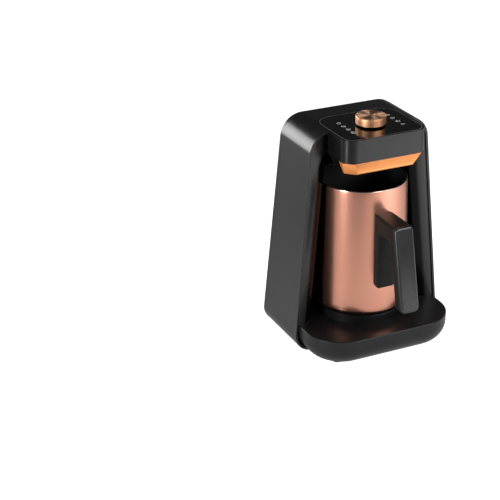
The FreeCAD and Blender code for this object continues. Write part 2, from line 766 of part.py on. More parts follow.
cut(
    heater_bracket, "bracket_holes", "XY_Plane",
    [(x, y, "screw_r + screw_gap") for x, y in plate_screws], "20", "44",
)
pieces = []
for number, (x, y) in enumerate(plate_screws):
    start = bracket_top + " - 1.4 - 1.25"
    pieces.append(rod("plate_screw_head_%d" % number, "head_r - 0.4", "1.2", (x, y, start)))
    length = "(%s + 1.6) - (%s)" % (plate_low, start)
    pieces.append(rod("plate_screw_shank_%d" % number, "screw_r", length, (x, y, start)))
keep(fuse("plate_screws", pieces), "plate_screws")
fuse_turn = Rotation(Vector(0, 1, 0), 90)
keep(
    rod("thermal_fuse", "2.2", "15", ("-7.5", "pot_y - 16", bracket_top + " - 1.4 - 2.25"), fuse_turn),
    "thermal_fuse",
)

# Temperature sensor: fixed guide, sprung cap and its coil spring
sensor_guide = new_body("sensor_guide")
guide_inner = "sensor_r + run_fit"
turned(sensor_guide, "Revolution", "guide_cup", [
    ("2", "guide_floor_z"),
    (guide_inner + " + guide_wall", "guide_floor_z"),
    (guide_inner + " + guide_wall", plate_top + " - 0.4"),
    (guide_inner, plate_top + " - 0.4"),
    (guide_inner, "guide_floor_z + 1.2"),
    ("2", "guide_floor_z + 1.2"),
], "pot_y")
cap_top = "pot_floor_z - disc_thick - 0.1"
cap_low = plate_low + " - 0.6"
sensor_cap = new_body("sensor_cap")
turned(sensor_cap, "Revolution", "cap_cup", [
    ("0", cap_top + " - 1.2"),
    ("0", cap_top),
    ("sensor_r - 0.8", cap_top),
    ("sensor_r", cap_top + " - 0.8"),
    ("sensor_r", cap_low),
    ("sensor_r - 1", cap_low),
    ("sensor_r - 1", cap_top + " - 1.2"),
], "pot_y")
spring_low = "guide_floor_z + 1.2 + spring_wire_r + 0.1"
spring_high = cap_top + " - 1.2 - spring_wire_r - 0.1"
sensor_spring = new_body("sensor_spring")
wire = new_sketch(sensor_spring, "spring_section", "XZ_Plane", "pot_y")
add_polygon(wire, [
    ("sensor_r - 2.2 + spring_wire_r * %.4f" % math.cos(math.radians(a)),
     "%s + spring_wire_r * %.4f" % (spring_low, math.sin(math.radians(a))))
    for a in range(0, 360, 45)
])
coil = sensor_spring.newObject("PartDesign::AdditiveHelix", "spring_coil")
coil.Profile = wire
coil.ReferenceAxis = (wire, ["V_Axis"])
coil.Mode = "height-turns-angle"
coil.setExpression("Height", "(%s) - (%s)" % (cells(spring_high), cells(spring_low)))
coil.Turns = 5
coil.Angle = 0
doc.recompute()

# Control head: tub, touch panel, trim band and underside
head_housing = new_body("head_housing")


def head_outline(offset):
    return [
        ("-(head_half - (%s))" % offset, "head_front_y + (%s)" % offset),
        ("head_half - (%s)" % offset, "head_front_y + (%s)" % offset),
        ("head_half - (%s)" % offset, "head_back_y - (%s)" % offset),
        ("-(head_half - (%s))" % offset, "head_back_y - (%s)" % offset),
    ]


def head_corner(front, offset):
    level = V["head_front_y"] + offset if front else V["head_back_y"] - offset
    return lambda edge: along(Z, edge) and abs(middle(edge).y - level) < 0.05


pad(head_housing, "head_block", "XY_Plane", [head_outline("0")], "(top_z - head_deep)", "top_z")
cut(
    head_housing,
    "head_hollow",
    "XY_Plane",
    [head_outline("head_wall + 1.2")],
    "(top_z - head_deep) + head_wall",
    "top_z + 1",
)
hollow_offset = V["head_wall"] + 1.2
rounded(
    head_housing, "hollow_front", "head_round_front - head_wall - 1.2", head_corner(True, hollow_offset),
)
rounded(head_housing, "hollow_back", "head_round_back - head_wall - 1.2", head_corner(False, hollow_offset))
cut(
    head_housing,
    "panel_seat",
    "XY_Plane",
    [head_outline("panel_inset")],
    "top_z - panel_thick - 0.1",
    "top_z + 5",
)
rounded(head_housing, "seat_front", "head_round_front - panel_inset", head_corner(True, V["panel_inset"]))
rounded(head_housing, "seat_back", "head_round_back - panel_inset", head_corner(False, V["panel_inset"]))
rounded(head_housing, "head_front_corners", "head_round_front", head_corner(True, 0))
rounded(head_housing, "head_back_corners", "head_round_back", head_corner(False, 0))
board_spots = [
    ("-(head_half - 12.7)", "head_front_y + 13.8"), ("head_half - 12.7", "head_front_y + 13.8"),
    ("-(head_half - 16.7)", "head_back_y - 15.2"), ("head_half - 16.7", "head_back_y - 15.2"),
]
pad(
    head_housing, "board_posts", "XY_Plane",
    [(x, y, "3.2") for x, y in board_spots],
    "(top_z - head_deep) + head_wall - 0.4",
    "(top_z - board_drop)",
)
cut(
    head_housing, "post_pilots", "XY_Plane",
    [(x, y, "screw_r + screw_gap") for x, y in board_spots],
    "(top_z - board_drop) - 8",
    "(top_z - board_drop) + 1",
)
cut(
    head_housing,
    "window_hole",
    "XY_Plane",
    [("0", "-10", "5")],
    "(top_z - head_deep) - 1",
    "(top_z - head_deep) + head_wall + 1",
)

touch_panel = new_body("touch_panel")
panel_edge = "panel_inset + 0.2"
pad(touch_panel, "panel_sheet", "XY_Plane", [head_outline(panel_edge)], "top_z - panel_thick", "top_z")
rounded(
    touch_panel,
    "panel_front",
    "head_round_front - " + panel_edge.replace("+", "-"),
    head_corner(True, V["panel_inset"] + 0.2),
)
rounded(
    touch_panel,
    "panel_back",
    "head_round_back - " + panel_edge.replace("+", "-"),
    head_corner(False, V["panel_inset"] + 0.2),
)
cut(touch_panel, "panel_bore", "XY_Plane", [("0", "knob_y", "bush_r + fit_gap")], "top_z - 5", "top_z + 5")


# A block under the head that draws in towards its lower edge.
def drawn_block(body, kind, name, offset, back, top, low):
    outlines = []
    for step, (level, inset) in enumerate(((top, "0"), (low, "trim_inset"))):
        sketch = new_sketch(body, "%s_outline_%d" % (name, step), "XY_Plane", level)
        half = "head_half - (%s) - %s" % (offset, inset)
        front = "head_front_y + (%s) + %s" % (offset, inset)
        add_polygon(sketch, [("-(%s)" % half, front), (half, front), (half, back), ("-(%s)" % half, back)])
        outlines.append(sketch)
    feature = body.newObject("PartDesign::" + kind, name)
    feature.Profile = outlines[0]
    feature.Sections = [outlines[1]]
    feature.Ruled = True
    doc.recompute()
    return feature


def drawn_corner(offset):
    level = V["head_front_y"] + offset + 0.5 * V["trim_inset"]

    def test(edge):
        spot = middle(edge)
        upright = abs(edge.Vertexes[-1].Point.z - edge.Vertexes[0].Point.z) > 5
        return upright and abs(spot.y - level) < 0.6
    return test


under_top = "(top_z - head_deep) - 0.2"
trim_band = new_body("trim_band")
drawn_block(
    trim_band,
    "AdditiveLoft",
    "band_block",
    "0",
    "(head_front_y + trim_deep)",
    under_top,
    "(top_z - head_deep - trim_high)",
)
drawn_block(
    trim_band,
    "SubtractiveLoft",
    "band_hollow",
    "trim_wall",
    "(head_front_y + trim_deep) + 4",
    under_top,
    "(top_z - head_deep - trim_high)",
)
rounded(trim_band, "band_inner", "head_round_front - 2 - trim_wall", drawn_corner(V["trim_wall"]))
rounded(trim_band, "band_corners", "head_round_front - 2", drawn_corner(0))

head_belly = new_body("head_belly")
drawn_block(
    head_belly,
    "AdditiveLoft",
    "belly_block",
    "0",
    "belly_back_y",
    under_top,
    "(top_z - head_deep - trim_high) + 0.6",
)
band_room = [
    ("-" + WIDE, "-60"), (WIDE, "-60"), (WIDE, "(head_front_y + trim_deep) + fit_gap"),
    ("head_half - trim_inset - trim_wall - fit_gap", "(head_front_y + trim_deep) + fit_gap"),
    ("head_half - trim_inset - trim_wall - fit_gap", "head_front_y + trim_inset + trim_wall + fit_gap"),
    ("-(head_half - trim_inset - trim_wall - fit_gap)", "head_front_y + trim_inset + trim_wall + fit_gap"),
    ("-(head_half - trim_inset - trim_wall - fit_gap)", "(head_front_y + trim_deep) + fit_gap"),
    ("-" + WIDE, "(head_front_y + trim_deep) + fit_gap"),
]
cut(head_belly, "band_room", "XY_Plane", [band_room], "200", "230")
rounded(
    head_belly, "belly_corners", "7",
    lambda edge: along(Z, edge) and middle(edge).y < V["head_front_y"] + 12 and abs(middle(edge).x) > 20,
)
cut(head_belly, "belly_well", "XY_Plane", [("0", "-10", "5")], "200", "230")

# Overflow sensor above the pot, behind its window
keep(
    rod("sensor_window", "4.8", "1.4", ("0", "-10", "(top_z - head_deep - trim_high) + 0.7")),
    "sensor_window",
)
keep(
    rod("overflow_sensor", "4.6", "12.4", ("0", "-10", "(top_z - head_deep - trim_high) + 2.3")),
    "overflow_sensor",
)

# Control board with the encoder and the buzzer
board = block(
    "control_board_sheet",
    ("2 * (head_half - 8.7)", "head_back_y - head_front_y - 21", "board_thick"),
    ("-(head_half - 8.7)", "head_front_y + 9.8", "top_z - board_drop"),
)
holes = [
    rod("board_hole_%d" % i, "screw_r + screw_gap", "4", (x, y, "(top_z - board_drop) - 1"))
    for i, (x, y) in enumerate(board_spots)
]
keep(carve("control_board", board, holes), "control_board")
pieces = []
for number, (x, y) in enumerate(board_spots):
    top = "(top_z - board_drop) + board_thick"
    pieces.append(rod("board_screw_head_%d" % number, "head_r - 0.4", "1.4", (x, y, top + " + 0.05")))
    pieces.append(rod("board_screw_shank_%d" % number, "screw_r", "8", (x, y, top + " + 0.1 - 8")))
keep(fuse("board_screws", pieces), "board_screws")
case_low = "(top_z - board_drop) + board_thick"
encoder_case = block("encoder_case", ("13", "13", "5.2"), ("-6.5", "knob_y - 6.5", case_low))
bushing = rod("encoder_bushing", "bush_r", "top_z + 1.2 - (%s)" % case_low, ("0", "knob_y", case_low))
whole = fuse("encoder_solid", [encoder_case, bushing])
bore = rod("encoder_bore", "plunger_r + run_fit", "20", ("0", "knob_y", case_low + " + 0.8"))
keep(carve("encoder_body", whole, [bore]), "encoder_body")
keep(ring("encoder_nut", "nut_r", "bush_r + 0.05", "1.1", ("0", "knob_y", "top_z + 0.05")), "encoder_nut")
keep(rod("buzzer", "6", "5.4", ("24", "10", case_low)), "buzzer")

# Push knob: sleeve that slides, shaft that turns in it, hub and cap
plunger_low = case_low + " + 0.8 + push_travel + 0.3"
keep(ring(
    "encoder_plunger", "plunger_r", "shaft_r + run_fit",
    "(top_z + knob_gap) + 0.5 - (%s)" % plunger_low, ("0", "knob_y", plunger_low),
), "encoder_plunger")
hub_low = "(top_z + knob_gap) + 0.8"
shaft_high = "(top_z + knob_gap + knob_high) - knob_wall - 1 - (%s) - 0.1" % plunger_low
keep(rod("encoder_shaft", "shaft_r", shaft_high, ("0", "knob_y", plunger_low + " + 0.1")), "encoder_shaft")
keep(
    ring(
        "knob_hub",
        "hub_r",
        "shaft_r",
        "(top_z + knob_gap + knob_high) - knob_wall - (%s)" % hub_low,
        ("0", "knob_y", hub_low),
    ),
    "knob_hub",
)
knob_cap = new_body("knob_cap")
turned(knob_cap, "Revolution", "cap_cup", [
    ("knob_r - knob_wall", "(top_z + knob_gap)"),
    ("knob_r - 0.5", "(top_z + knob_gap)"),
    ("knob_r", "(top_z + knob_gap) + 0.5"),
    ("knob_r", "(top_z + knob_gap + knob_high) - 0.9"),
    ("knob_r - 0.9", "(top_z + knob_gap + knob_high)"),
    ("0", "(top_z + knob_gap + knob_high)"),
    ("0", "(top_z + knob_gap + knob_high) - knob_wall"),
    ("knob_r - knob_wall", "(top_z + knob_gap + knob_high) - knob_wall"),
], "knob_y")

# Power electronics in the base, behind the heater
power = block(
    "power_board_sheet", ("2 * (shell_half_low - base_clear - 23.2)", "24", "board_thick"),
    ("-(shell_half_low - base_clear - 23.2)", "base_back_y - 27.4", "power_z"),
)
post_x = "(shell_half_low - base_clear - 28.2)"
post_spots = [(side + post_x, "base_back_y - %s" % back) for side in ("-", "") for back in ("23.4", "7.4")]
holes = [
    rod("power_hole_%d" % i, "screw_r + screw_gap", "4", (x, y, "power_z - 1"))
    for i, (x, y) in enumerate(post_spots)
]
keep(carve("power_board", power, holes), "power_board")
pieces = []
for number, (x, y) in enumerate(post_spots):
    floor = "ground_gap + shell_wall"
    pieces.append(rod("power_post_%d" % number, "3", "power_z - (%s)" % floor, (x, y, floor)))
    pieces.append(rod("power_pin_%d" % number, "screw_r", "board_thick + 1", (x, y, "power_z")))
keep(fuse("power_posts", pieces), "power_posts")
parts_low = "power_z + board_thick"
transformer_size = (post_x + " - 27", "20", "10.5")
keep(
    block("transformer", transformer_size, ("-" + post_x + " + 7", "base_back_y - 25.4", parts_low)),
    "transformer",
)
keep(block("relay", (post_x + " - 34", "15", "10.5"), ("27", "base_back_y - 24.4", parts_low)), "relay")
keep(block("terminal_block", ("22", "9", "9"), ("-2", "base_back_y - 14.4", parts_low)), "terminal_block")
keep(rod("capacitor", "4.5", "10", ("-12", "base_back_y - 10.4", parts_low)), "capacitor")

# Cord gland in the back cover
gland_low = "back_y - 8"
tube = rod("gland_tube", "gland_r", "7.9", ("gland_x", gland_low, "gland_z"), TO_BACK)
flange = rod("gland_flange", "gland_r + 2", "1.2", ("gland_x", "back_y - 4.8", "gland_z"), TO_BACK)
bore = rod("gland_bore", "cord_r", "10", ("gland_x", gland_low + " - 1", "gland_z"), TO_BACK)
keep(carve("cord_gland", fuse("gland_solid", [tube, flange]), [bore]), "cord_gland")

# Pot: bowl, disc under it, welded strap, handle, cover and screws
POT_SLOPE = "((pot_r_low - pot_r_high) / (pot_top_z - pot_floor_z))"


def pot_radius(height, offset):
    return "pot_r_low - ((%s) - pot_floor_z) * %s + (%s)" % (height, POT_SLOPE, offset)


pot_shell = new_body("pot_shell")
turned(pot_shell, "Revolution", "bowl", [
    ("0", "pot_floor_z"),
    (pot_radius("pot_floor_z", "0"), "pot_floor_z"),
    (pot_radius("pot_top_z", "0"), "pot_top_z"),
    (pot_radius("pot_top_z", "-pot_wall"), "pot_top_z"),
    (pot_radius("pot_floor_z + pot_wall", "-pot_wall"), "pot_floor_z + pot_wall"),
    ("0", "pot_floor_z + pot_wall"),
], "pot_y")
rounded(
    pot_shell, "bowl_low_round", "pot_round",
    lambda edge: abs(middle(edge).z - V["pot_floor_z"]) < 0.05 and edge.Length > 200,
)
rounded(
    pot_shell, "bowl_inner_round", "pot_round - pot_wall",
    lambda edge: abs(middle(edge).z - V["pot_floor_z"] - V["pot_wall"]) < 0.05 and edge.Length > 200,
)
pot_base_disc = new_body("pot_base_disc")
turned(pot_base_disc, "Revolution", "disc", [
    ("0", "pot_floor_z - disc_thick"),
    ("disc_r - 0.6", "pot_floor_z - disc_thick"),
    ("disc_r", "pot_floor_z - disc_thick + 0.6"),
    ("disc_r", "pot_floor_z"),
    ("0", "pot_floor_z"),
], "pot_y")


# Everything inside a cone round the pot axis is taken off.
def cone_cut(body, name, offset):
    turned(body, "Groove", name, [
        ("0", "30"),
        (pot_radius("30", offset), "30"),
        (pot_radius("200", offset), "200"),
        ("0", "200"),
    ], "pot_y")


handle_bracket = new_body("handle_bracket")
strap = [
    ("-strap_half", "pad_low_z + 12"), ("strap_half", "pad_low_z + 12"),
    ("strap_half", "arm_top_z - 8"), ("-strap_half", "arm_top_z - 8"),
]
pad(handle_bracket, "strap_block", "XZ_Plane", [strap], "-34", "-18")
turned(handle_bracket, "Groove", "strap_outside", [
    (pot_radius("30", "strap_thick"), "30"),
    ("140", "30"),
    ("140", "200"),
    (pot_radius("200", "strap_thick"), "200"),
], "pot_y")
cone_cut(handle_bracket, "strap_inside", "0.02")
screw_heights = ("pad_low_z + 24", "arm_top_z - 26")
cut(
    handle_bracket, "strap_threads", "XZ_Plane",
    [("0", z, "screw_r + screw_gap") for z in screw_heights], "-40", "-15",
)

handle = new_body("handle")
pad_front = "pot_y - (%s)" % pot_radius("pad_low_z", "pad_thick")
arm_root = "pot_y - (%s)" % pot_radius("arm_top_z", "pad_thick")
tongue = [
    ("-pad_half", "pad_low_z"), ("pad_half", "pad_low_z"),
    ("pad_half", "arm_top_z"), ("-pad_half", "arm_top_z"),
]
pad(handle, "pad_block", "XZ_Plane", [tongue], "-50", "-16")
rounded(
    handle, "pad_foot", "pad_half - 0.1",
    lambda edge: along(Y, edge) and middle(edge).z < V["pad_low_z"] + 1,
)
turned(handle, "Groove", "pad_outside", [
    (pot_radius("30", "pad_thick"), "30"),
    ("140", "30"),
    ("140", "200"),
    (pot_radius("200", "pad_thick"), "200"),
], "pot_y")
grip_run = "((grip_top_y - grip_low_y) / (arm_top_z - grip_low_z))"


def grip_y(height, offset):
    return "grip_low_y + ((%s) - grip_low_z) * %s + (%s)" % (height, grip_run, offset)


inset = "cover_thick + 0.1"
elbow = [
    ("-24", "arm_top_z"),
    (grip_y("arm_top_z", inset), "arm_top_z"),
    (grip_y("grip_low_z", inset), "grip_low_z"),
    (grip_y("grip_low_z - 2", "grip_deep"), "grip_low_z - 2"),
    (grip_y("arm_top_z - arm_deep", "grip_deep"), "arm_top_z - arm_deep"),
    (arm_root, "arm_top_z - arm_deep"),
    ("-24", "arm_top_z - arm_deep"),
]
pad(handle, "elbow", "YZ_Plane", [elbow], "-grip_half", "grip_half")
cone_cut(handle, "pad_inside", "0.02")
strap_room = [
    ("-(strap_half + 0.1)", "pad_low_z + 11.9"), ("strap_half + 0.1", "pad_low_z + 11.9"),
    ("strap_half + 0.1", "arm_top_z - 7.9"), ("-(strap_half + 0.1)", "arm_top_z - 7.9"),
]
room = handle.newObject("PartDesign::SubtractiveLoft", "strap_room")
room_outlines = []
for step, level in enumerate(("arm_top_z - 7.9", "pad_low_z + 11.9")):
    sketch = new_sketch(handle, "strap_room_outline_%d" % step, "XY_Plane", level)
    near = "pot_y - (%s)" % pot_radius(level, "strap_thick + 0.1")
    add_polygon(sketch, [
        ("-(strap_half + 0.1)", near), ("strap_half + 0.1", near),
        ("strap_half + 0.1", "-10"), ("-(strap_half + 0.1)", "-10"),
    ])
    room_outlines.append(sketch)
room.Profile = room_outlines[0]
room.Sections = [room_outlines[1]]
room.Ruled = True
doc.recompute()
cut(
    handle, "handle_holes", "XZ_Plane",
    [("0", z, "screw_r + screw_gap") for z in screw_heights[:1]], "-40", "-15",
)
rounded(
    handle, "gap_round", "5",
    lambda edge: along(X, edge) and abs(middle(edge).z - V["arm_top_z"] + V["arm_deep"]) < 0.1
    and middle(edge).y > -60,
)


def grip_edge(edge):
    spot = middle(edge)
    side = abs(abs(spot.x) - V["grip_half"]) < 0.01
    run = edge.Vertexes[-1].Point - edge.Vertexes[0].Point
    slanted = edge.Length > 40 and abs(run.x) < 0.01 and abs(run.z) > 30
    return side and slanted and spot.y < -50


rounded(handle, "grip_inner_edges", "3", lambda edge: grip_edge(edge) and middle(edge).y > -66)

grip_cover = new_body("grip_cover")
cover_side = [
    (grip_y("arm_top_z", "0"), "arm_top_z"),
    (grip_y("grip_low_z", "0"), "grip_low_z"),
    (grip_y("grip_low_z", "cover_thick"), "grip_low_z"),
    (grip_y("arm_top_z", "cover_thick"), "arm_top_z"),
]
pad(grip_cover, "cover_slab", "YZ_Plane", [cover_side], "-grip_half", "grip_half")
rounded(
    grip_cover, "cover_edges", "1.8",
    lambda edge: grip_edge(edge) and abs(edge.Vertexes[0].Point.y - V["grip_low_y"]) < 0.01
    or grip_edge(edge) and abs(edge.Vertexes[-1].Point.y - V["grip_low_y"]) < 0.01,
)
forward = Rotation(Vector(1, 0, 0), 90)
pieces = []
z = screw_heights[0]
seat = "pot_y - (%s)" % pot_radius(z, "pad_thick")
head_start = seat + " - 0.05"
pieces.append(rod("handle_screw_head", "head_r", "1.4", ("0", head_start, z), forward))
pieces.append(
    rod("handle_screw_shank", "screw_r", "pad_thick", ("0", head_start + " + pad_thick - 0.4", z), forward)
)
keep(fuse("handle_screws", pieces), "handle_screws")

doc.recompute()
faults = []
for item in doc.Objects:
    if "Invalid" in item.State or "Error" in item.State:
        faults.append("%s is %s" % (item.Label, item.State))
for node in NODES:
    if node.Shape.isNull() or not node.Shape.isValid():
        faults.append("%s has no valid shape" % node.Label)
if faults:
    raise RuntimeError("; ".join(faults))
os.makedirs("parts", exist_ok=True)
for node in NODES:
    node.Shape.exportStep("parts/%s.step" % node.Label)
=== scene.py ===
import math

import bmesh
import bpy
from mathutils import Matrix, Vector
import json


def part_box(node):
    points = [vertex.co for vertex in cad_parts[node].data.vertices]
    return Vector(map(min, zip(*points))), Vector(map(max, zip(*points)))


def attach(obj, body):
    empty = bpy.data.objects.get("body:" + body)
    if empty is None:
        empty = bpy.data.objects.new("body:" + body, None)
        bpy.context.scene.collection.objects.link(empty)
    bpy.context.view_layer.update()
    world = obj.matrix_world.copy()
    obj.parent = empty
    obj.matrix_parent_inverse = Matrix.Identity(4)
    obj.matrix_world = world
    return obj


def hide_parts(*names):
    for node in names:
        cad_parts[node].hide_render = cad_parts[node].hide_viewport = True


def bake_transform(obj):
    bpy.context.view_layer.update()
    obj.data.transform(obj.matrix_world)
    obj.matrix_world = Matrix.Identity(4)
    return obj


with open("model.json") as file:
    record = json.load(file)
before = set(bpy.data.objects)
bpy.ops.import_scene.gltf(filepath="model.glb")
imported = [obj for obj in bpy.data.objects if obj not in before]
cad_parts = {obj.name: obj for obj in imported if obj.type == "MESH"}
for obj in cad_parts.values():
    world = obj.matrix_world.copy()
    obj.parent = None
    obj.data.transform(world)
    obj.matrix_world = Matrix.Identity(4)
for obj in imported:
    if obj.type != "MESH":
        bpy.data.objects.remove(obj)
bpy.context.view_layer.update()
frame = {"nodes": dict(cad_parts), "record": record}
nodes = frame["nodes"]
scene = bpy.context.scene

NODE_SPLIT = math.radians(32)
PIECE_SPLIT = math.radians(34)
WELD_GAP = 0.00001
BEVEL_STEPS = 2
BEVEL_ANGLE = math.radians(15)
LEAST_ROUND = 0.0002

knob_low, knob_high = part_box("knob_cap")
knob_y = (knob_low.y + knob_high.y) / 2
knob_r = (knob_high.x - knob_low.x) / 2
pot_low, pot_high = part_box("pot_shell")
pot_y = (pot_low.y + pot_high.y) / 2
panel_low, panel_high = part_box("touch_panel")
trim_low, trim_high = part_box("trim_band")
spring_low, spring_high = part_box("sensor_spring")
grip_low, grip_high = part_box("grip_cover")
hand_low, hand_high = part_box("handle")


# Materials: moulded plastics and brushed metals, all procedural
def new_material(name):
    material = bpy.data.materials.new(name)
    material.use_nodes = True
    tree = material.node_tree
    return material, tree, tree.nodes["Principled BSDF"]


def add(tree, kind, **settings):
    """New shader node; a setting goes to the input of that name, or else to the node's own property."""
    node = tree.nodes.new(kind)
    for key, value in settings.items():
        if key in node.inputs:
            node.inputs[key].default_value = value
        else:
            setattr(node, key, value)
    return node


def tint(value):
    """Colour with alpha from a grey level or from three channels."""
    if isinstance(value, float):
        return (value, value, value, 1)
    return (*value, 1)


def two_tone(tree, dark, light):
    """Ramp between two close colours."""
    ramp = add(tree, "ShaderNodeValToRGB")
    for element, position, value in zip(ramp.color_ramp.elements, (0.3, 0.7), (dark, light)):
        element.position = position
        element.color = tint(value)
    return ramp


def grained(
    name, dark, light, rough, metal=0.0, scale=900.0, bump=0.04, spread=40.0, ior=1.5,
    stretch=(1, 1, 1), rough_spread=0.05, aniso=0.0,
):
    """Moulded or brushed surface: slow colour drift, fine grain in roughness and relief."""
    material, tree, shader = new_material(name)
    link = tree.links.new
    place = add(tree, "ShaderNodeTexCoord")
    mapping = add(tree, "ShaderNodeMapping")
    mapping.inputs["Scale"].default_value = stretch
    link(place.outputs["Object"], mapping.inputs["Vector"])
    slow = add(tree, "ShaderNodeTexNoise", Scale=spread, Detail=3.0)
    fine = add(tree, "ShaderNodeTexNoise", Scale=scale, Detail=4.0)
    for noise in (slow, fine):
        link(mapping.outputs["Vector"], noise.inputs["Vector"])
    ramp = two_tone(tree, dark, light)
    link(slow.outputs["Fac"], ramp.inputs["Fac"])
    link(ramp.outputs["Color"], shader.inputs["Base Color"])
    span = add(tree, "ShaderNodeMapRange")
    span.inputs["To Min"].default_value = max(rough - rough_spread, 0.02)
    span.inputs["To Max"].default_value = rough + rough_spread
    link(fine.outputs["Fac"], span.inputs["Value"])
    link(span.outputs["Result"], shader.inputs["Roughness"])
    relief = add(tree, "ShaderNodeBump", Strength=bump, Distance=0.0002)
    link(fine.outputs["Fac"], relief.inputs["Height"])
    link(relief.outputs["Normal"], shader.inputs["Normal"])
    shader.inputs["Metallic"].default_value = metal
    shader.inputs["IOR"].default_value = ior
    shader.inputs["Anisotropic"].default_value = aniso
    return material


# Grain drawn out along the upright
UPRIGHT = (1, 1, 0.05)

# Each finish: name, darker and lighter colour, roughness, and what differs from a plain moulding
FINISHES = (
    ("satin_shell", 0.013, 0.017, 0.22, dict(bump=0.02, ior=1.45)),
    ("satin_liner_painted_shade", 0.010, 0.014, 0.25, dict(bump=0.01, rough_spread=0.03)),
    ("satin_head", 0.005, 0.007, 0.24, dict(bump=0.02)),
    ("satin_base", 0.008, 0.011, 0.34, dict(bump=0.02, ior=1.38)),
    ("gloss_panel", 0.0015, 0.0025, 0.06, dict(bump=0.0, rough_spread=0.015)),
    ("brushed_trim", (0.96, 0.34, 0.10), (0.99, 0.38, 0.12), 0.36,
     dict(metal=0.5, stretch=(0.04, 1, 1), scale=2600.0, bump=0.05)),
    ("satin_pot", (0.72, 0.335, 0.238), (0.74, 0.350, 0.250), 0.24,
     dict(metal=1.0, stretch=UPRIGHT, scale=1800.0, bump=0.003, aniso=0.4, rough_spread=0.01)),
    ("pot_disc", (0.40, 0.40, 0.41), (0.50, 0.50, 0.51), 0.38, dict(metal=1.0)),
    # Collar under the pot: black moulding, its colour set darker than the other blacks as painted shade
    # under the pot
    ("collar", 0.0025, 0.004, 0.45, dict(ior=1.25)),
    ("hot_plate", (0.05, 0.05, 0.055), (0.08, 0.08, 0.085), 0.45, dict(metal=0.6)),
    ("rubber", 0.015, 0.03, 0.75, dict(bump=0.15)),
    ("silicone", 0.30, 0.36, 0.6, {}),
    ("plain_steel", (0.45, 0.45, 0.46), (0.58, 0.58, 0.60), 0.32, dict(metal=1.0)),
    ("satin_handle", 0.011, 0.015, 0.46, dict(bump=0.02, ior=1.22)),
    ("satin_grip", 0.016, 0.020, 0.24, dict(bump=0.002, ior=1.55, rough_spread=0.01)),
    ("dark_steel", 0.02, (0.035, 0.035, 0.036), 0.4, dict(metal=0.6)),
    ("board", (0.02, 0.10, 0.04), (0.04, 0.16, 0.07), 0.4, dict(spread=300.0)),
    ("part_black", 0.02, 0.035, 0.5, {}),
    ("part_yellow", (0.55, 0.42, 0.06), (0.65, 0.50, 0.10), 0.45, {}),
    ("part_green", (0.03, 0.20, 0.06), (0.05, 0.28, 0.09), 0.45, {}),
    ("knob_plastic", 0.04, 0.06, 0.5, {}),
    ("window", (0.02, 0.004, 0.004), (0.03, 0.006, 0.006), 0.1, {}),
    ("pot_inside", 0.006, 0.012, 0.42, dict(bump=0.05)),
    # Rim band: glossier copper, paler than the pot as a painted highlight along the rolled rim
    ("pot_rim", (0.75, 0.52, 0.42), (0.85, 0.62, 0.52), 0.2, dict(metal=1.0)),
    ("knob_side", (0.80, 0.41, 0.22), (0.86, 0.46, 0.26), 0.48,
     dict(metal=1.0, bump=0.01, scale=1200.0, stretch=UPRIGHT, rough_spread=0.03)),
    ("white_mark", 0.88, 0.95, 0.5, {}),
    ("panel_line", 0.13, 0.17, 0.35, {}),
)
finish = {}
for name, dark, light, rough, extras in FINISHES:
    finish[name] = grained(name, dark, light, rough, **extras)


def spun_top(name, dark, light):
    """Turned metal end face: fine rings round the knob's axis."""
    material, tree, shader = new_material(name)
    link = tree.links.new
    place = add(tree, "ShaderNodeTexCoord")
    split = add(tree, "ShaderNodeSeparateXYZ")
    link(place.outputs["Object"], split.inputs["Vector"])
    centre = add(tree, "ShaderNodeMath", operation="SUBTRACT")
    centre.inputs[1].default_value = knob_y
    link(split.outputs["Y"], centre.inputs[0])
    join = add(tree, "ShaderNodeCombineXYZ")
    link(split.outputs["X"], join.inputs["X"])
    link(centre.outputs["Value"], join.inputs["Y"])
    reach = add(tree, "ShaderNodeVectorMath", operation="LENGTH")
    link(join.outputs["Vector"], reach.inputs[0])
    rings = add(tree, "ShaderNodeTexNoise", noise_dimensions="1D", Scale=9000.0, Detail=3.0)
    link(reach.outputs["Value"], rings.inputs["W"])
    ramp = two_tone(tree, dark, light)
    link(rings.outputs["Fac"], ramp.inputs["Fac"])
    link(ramp.outputs["Color"], shader.inputs["Base Color"])
    relief = add(tree, "ShaderNodeBump", Strength=0.25, Distance=0.0001)
    link(rings.outputs["Fac"], relief.inputs["Height"])
    link(relief.outputs["Normal"], shader.inputs["Normal"])
    tangent = add(tree, "ShaderNodeTangent", direction_type="RADIAL", axis="Z")
    link(tangent.outputs["Tangent"], shader.inputs["Tangent"])
    shader.inputs["Metallic"].default_value = 1.0
    shader.inputs["Roughness"].default_value = 0.48
    shader.inputs["Anisotropic"].default_value = 0.95
    return material


# Painted shade along the lip round the alcove, standing in for the shade on a rounded rim, ends where |x| +
# lean * z reaches this edge
LIP_SHADE_LEAN = 0.102
LIP_SHADE_EDGE = 0.0785
LIP_SHADE_BLUR = 0.003

# By the y of its normal, a face looks to the front up to the first value and inwards from the second
FACING_FRONT = -0.75
FACING_INWARDS = -0.55


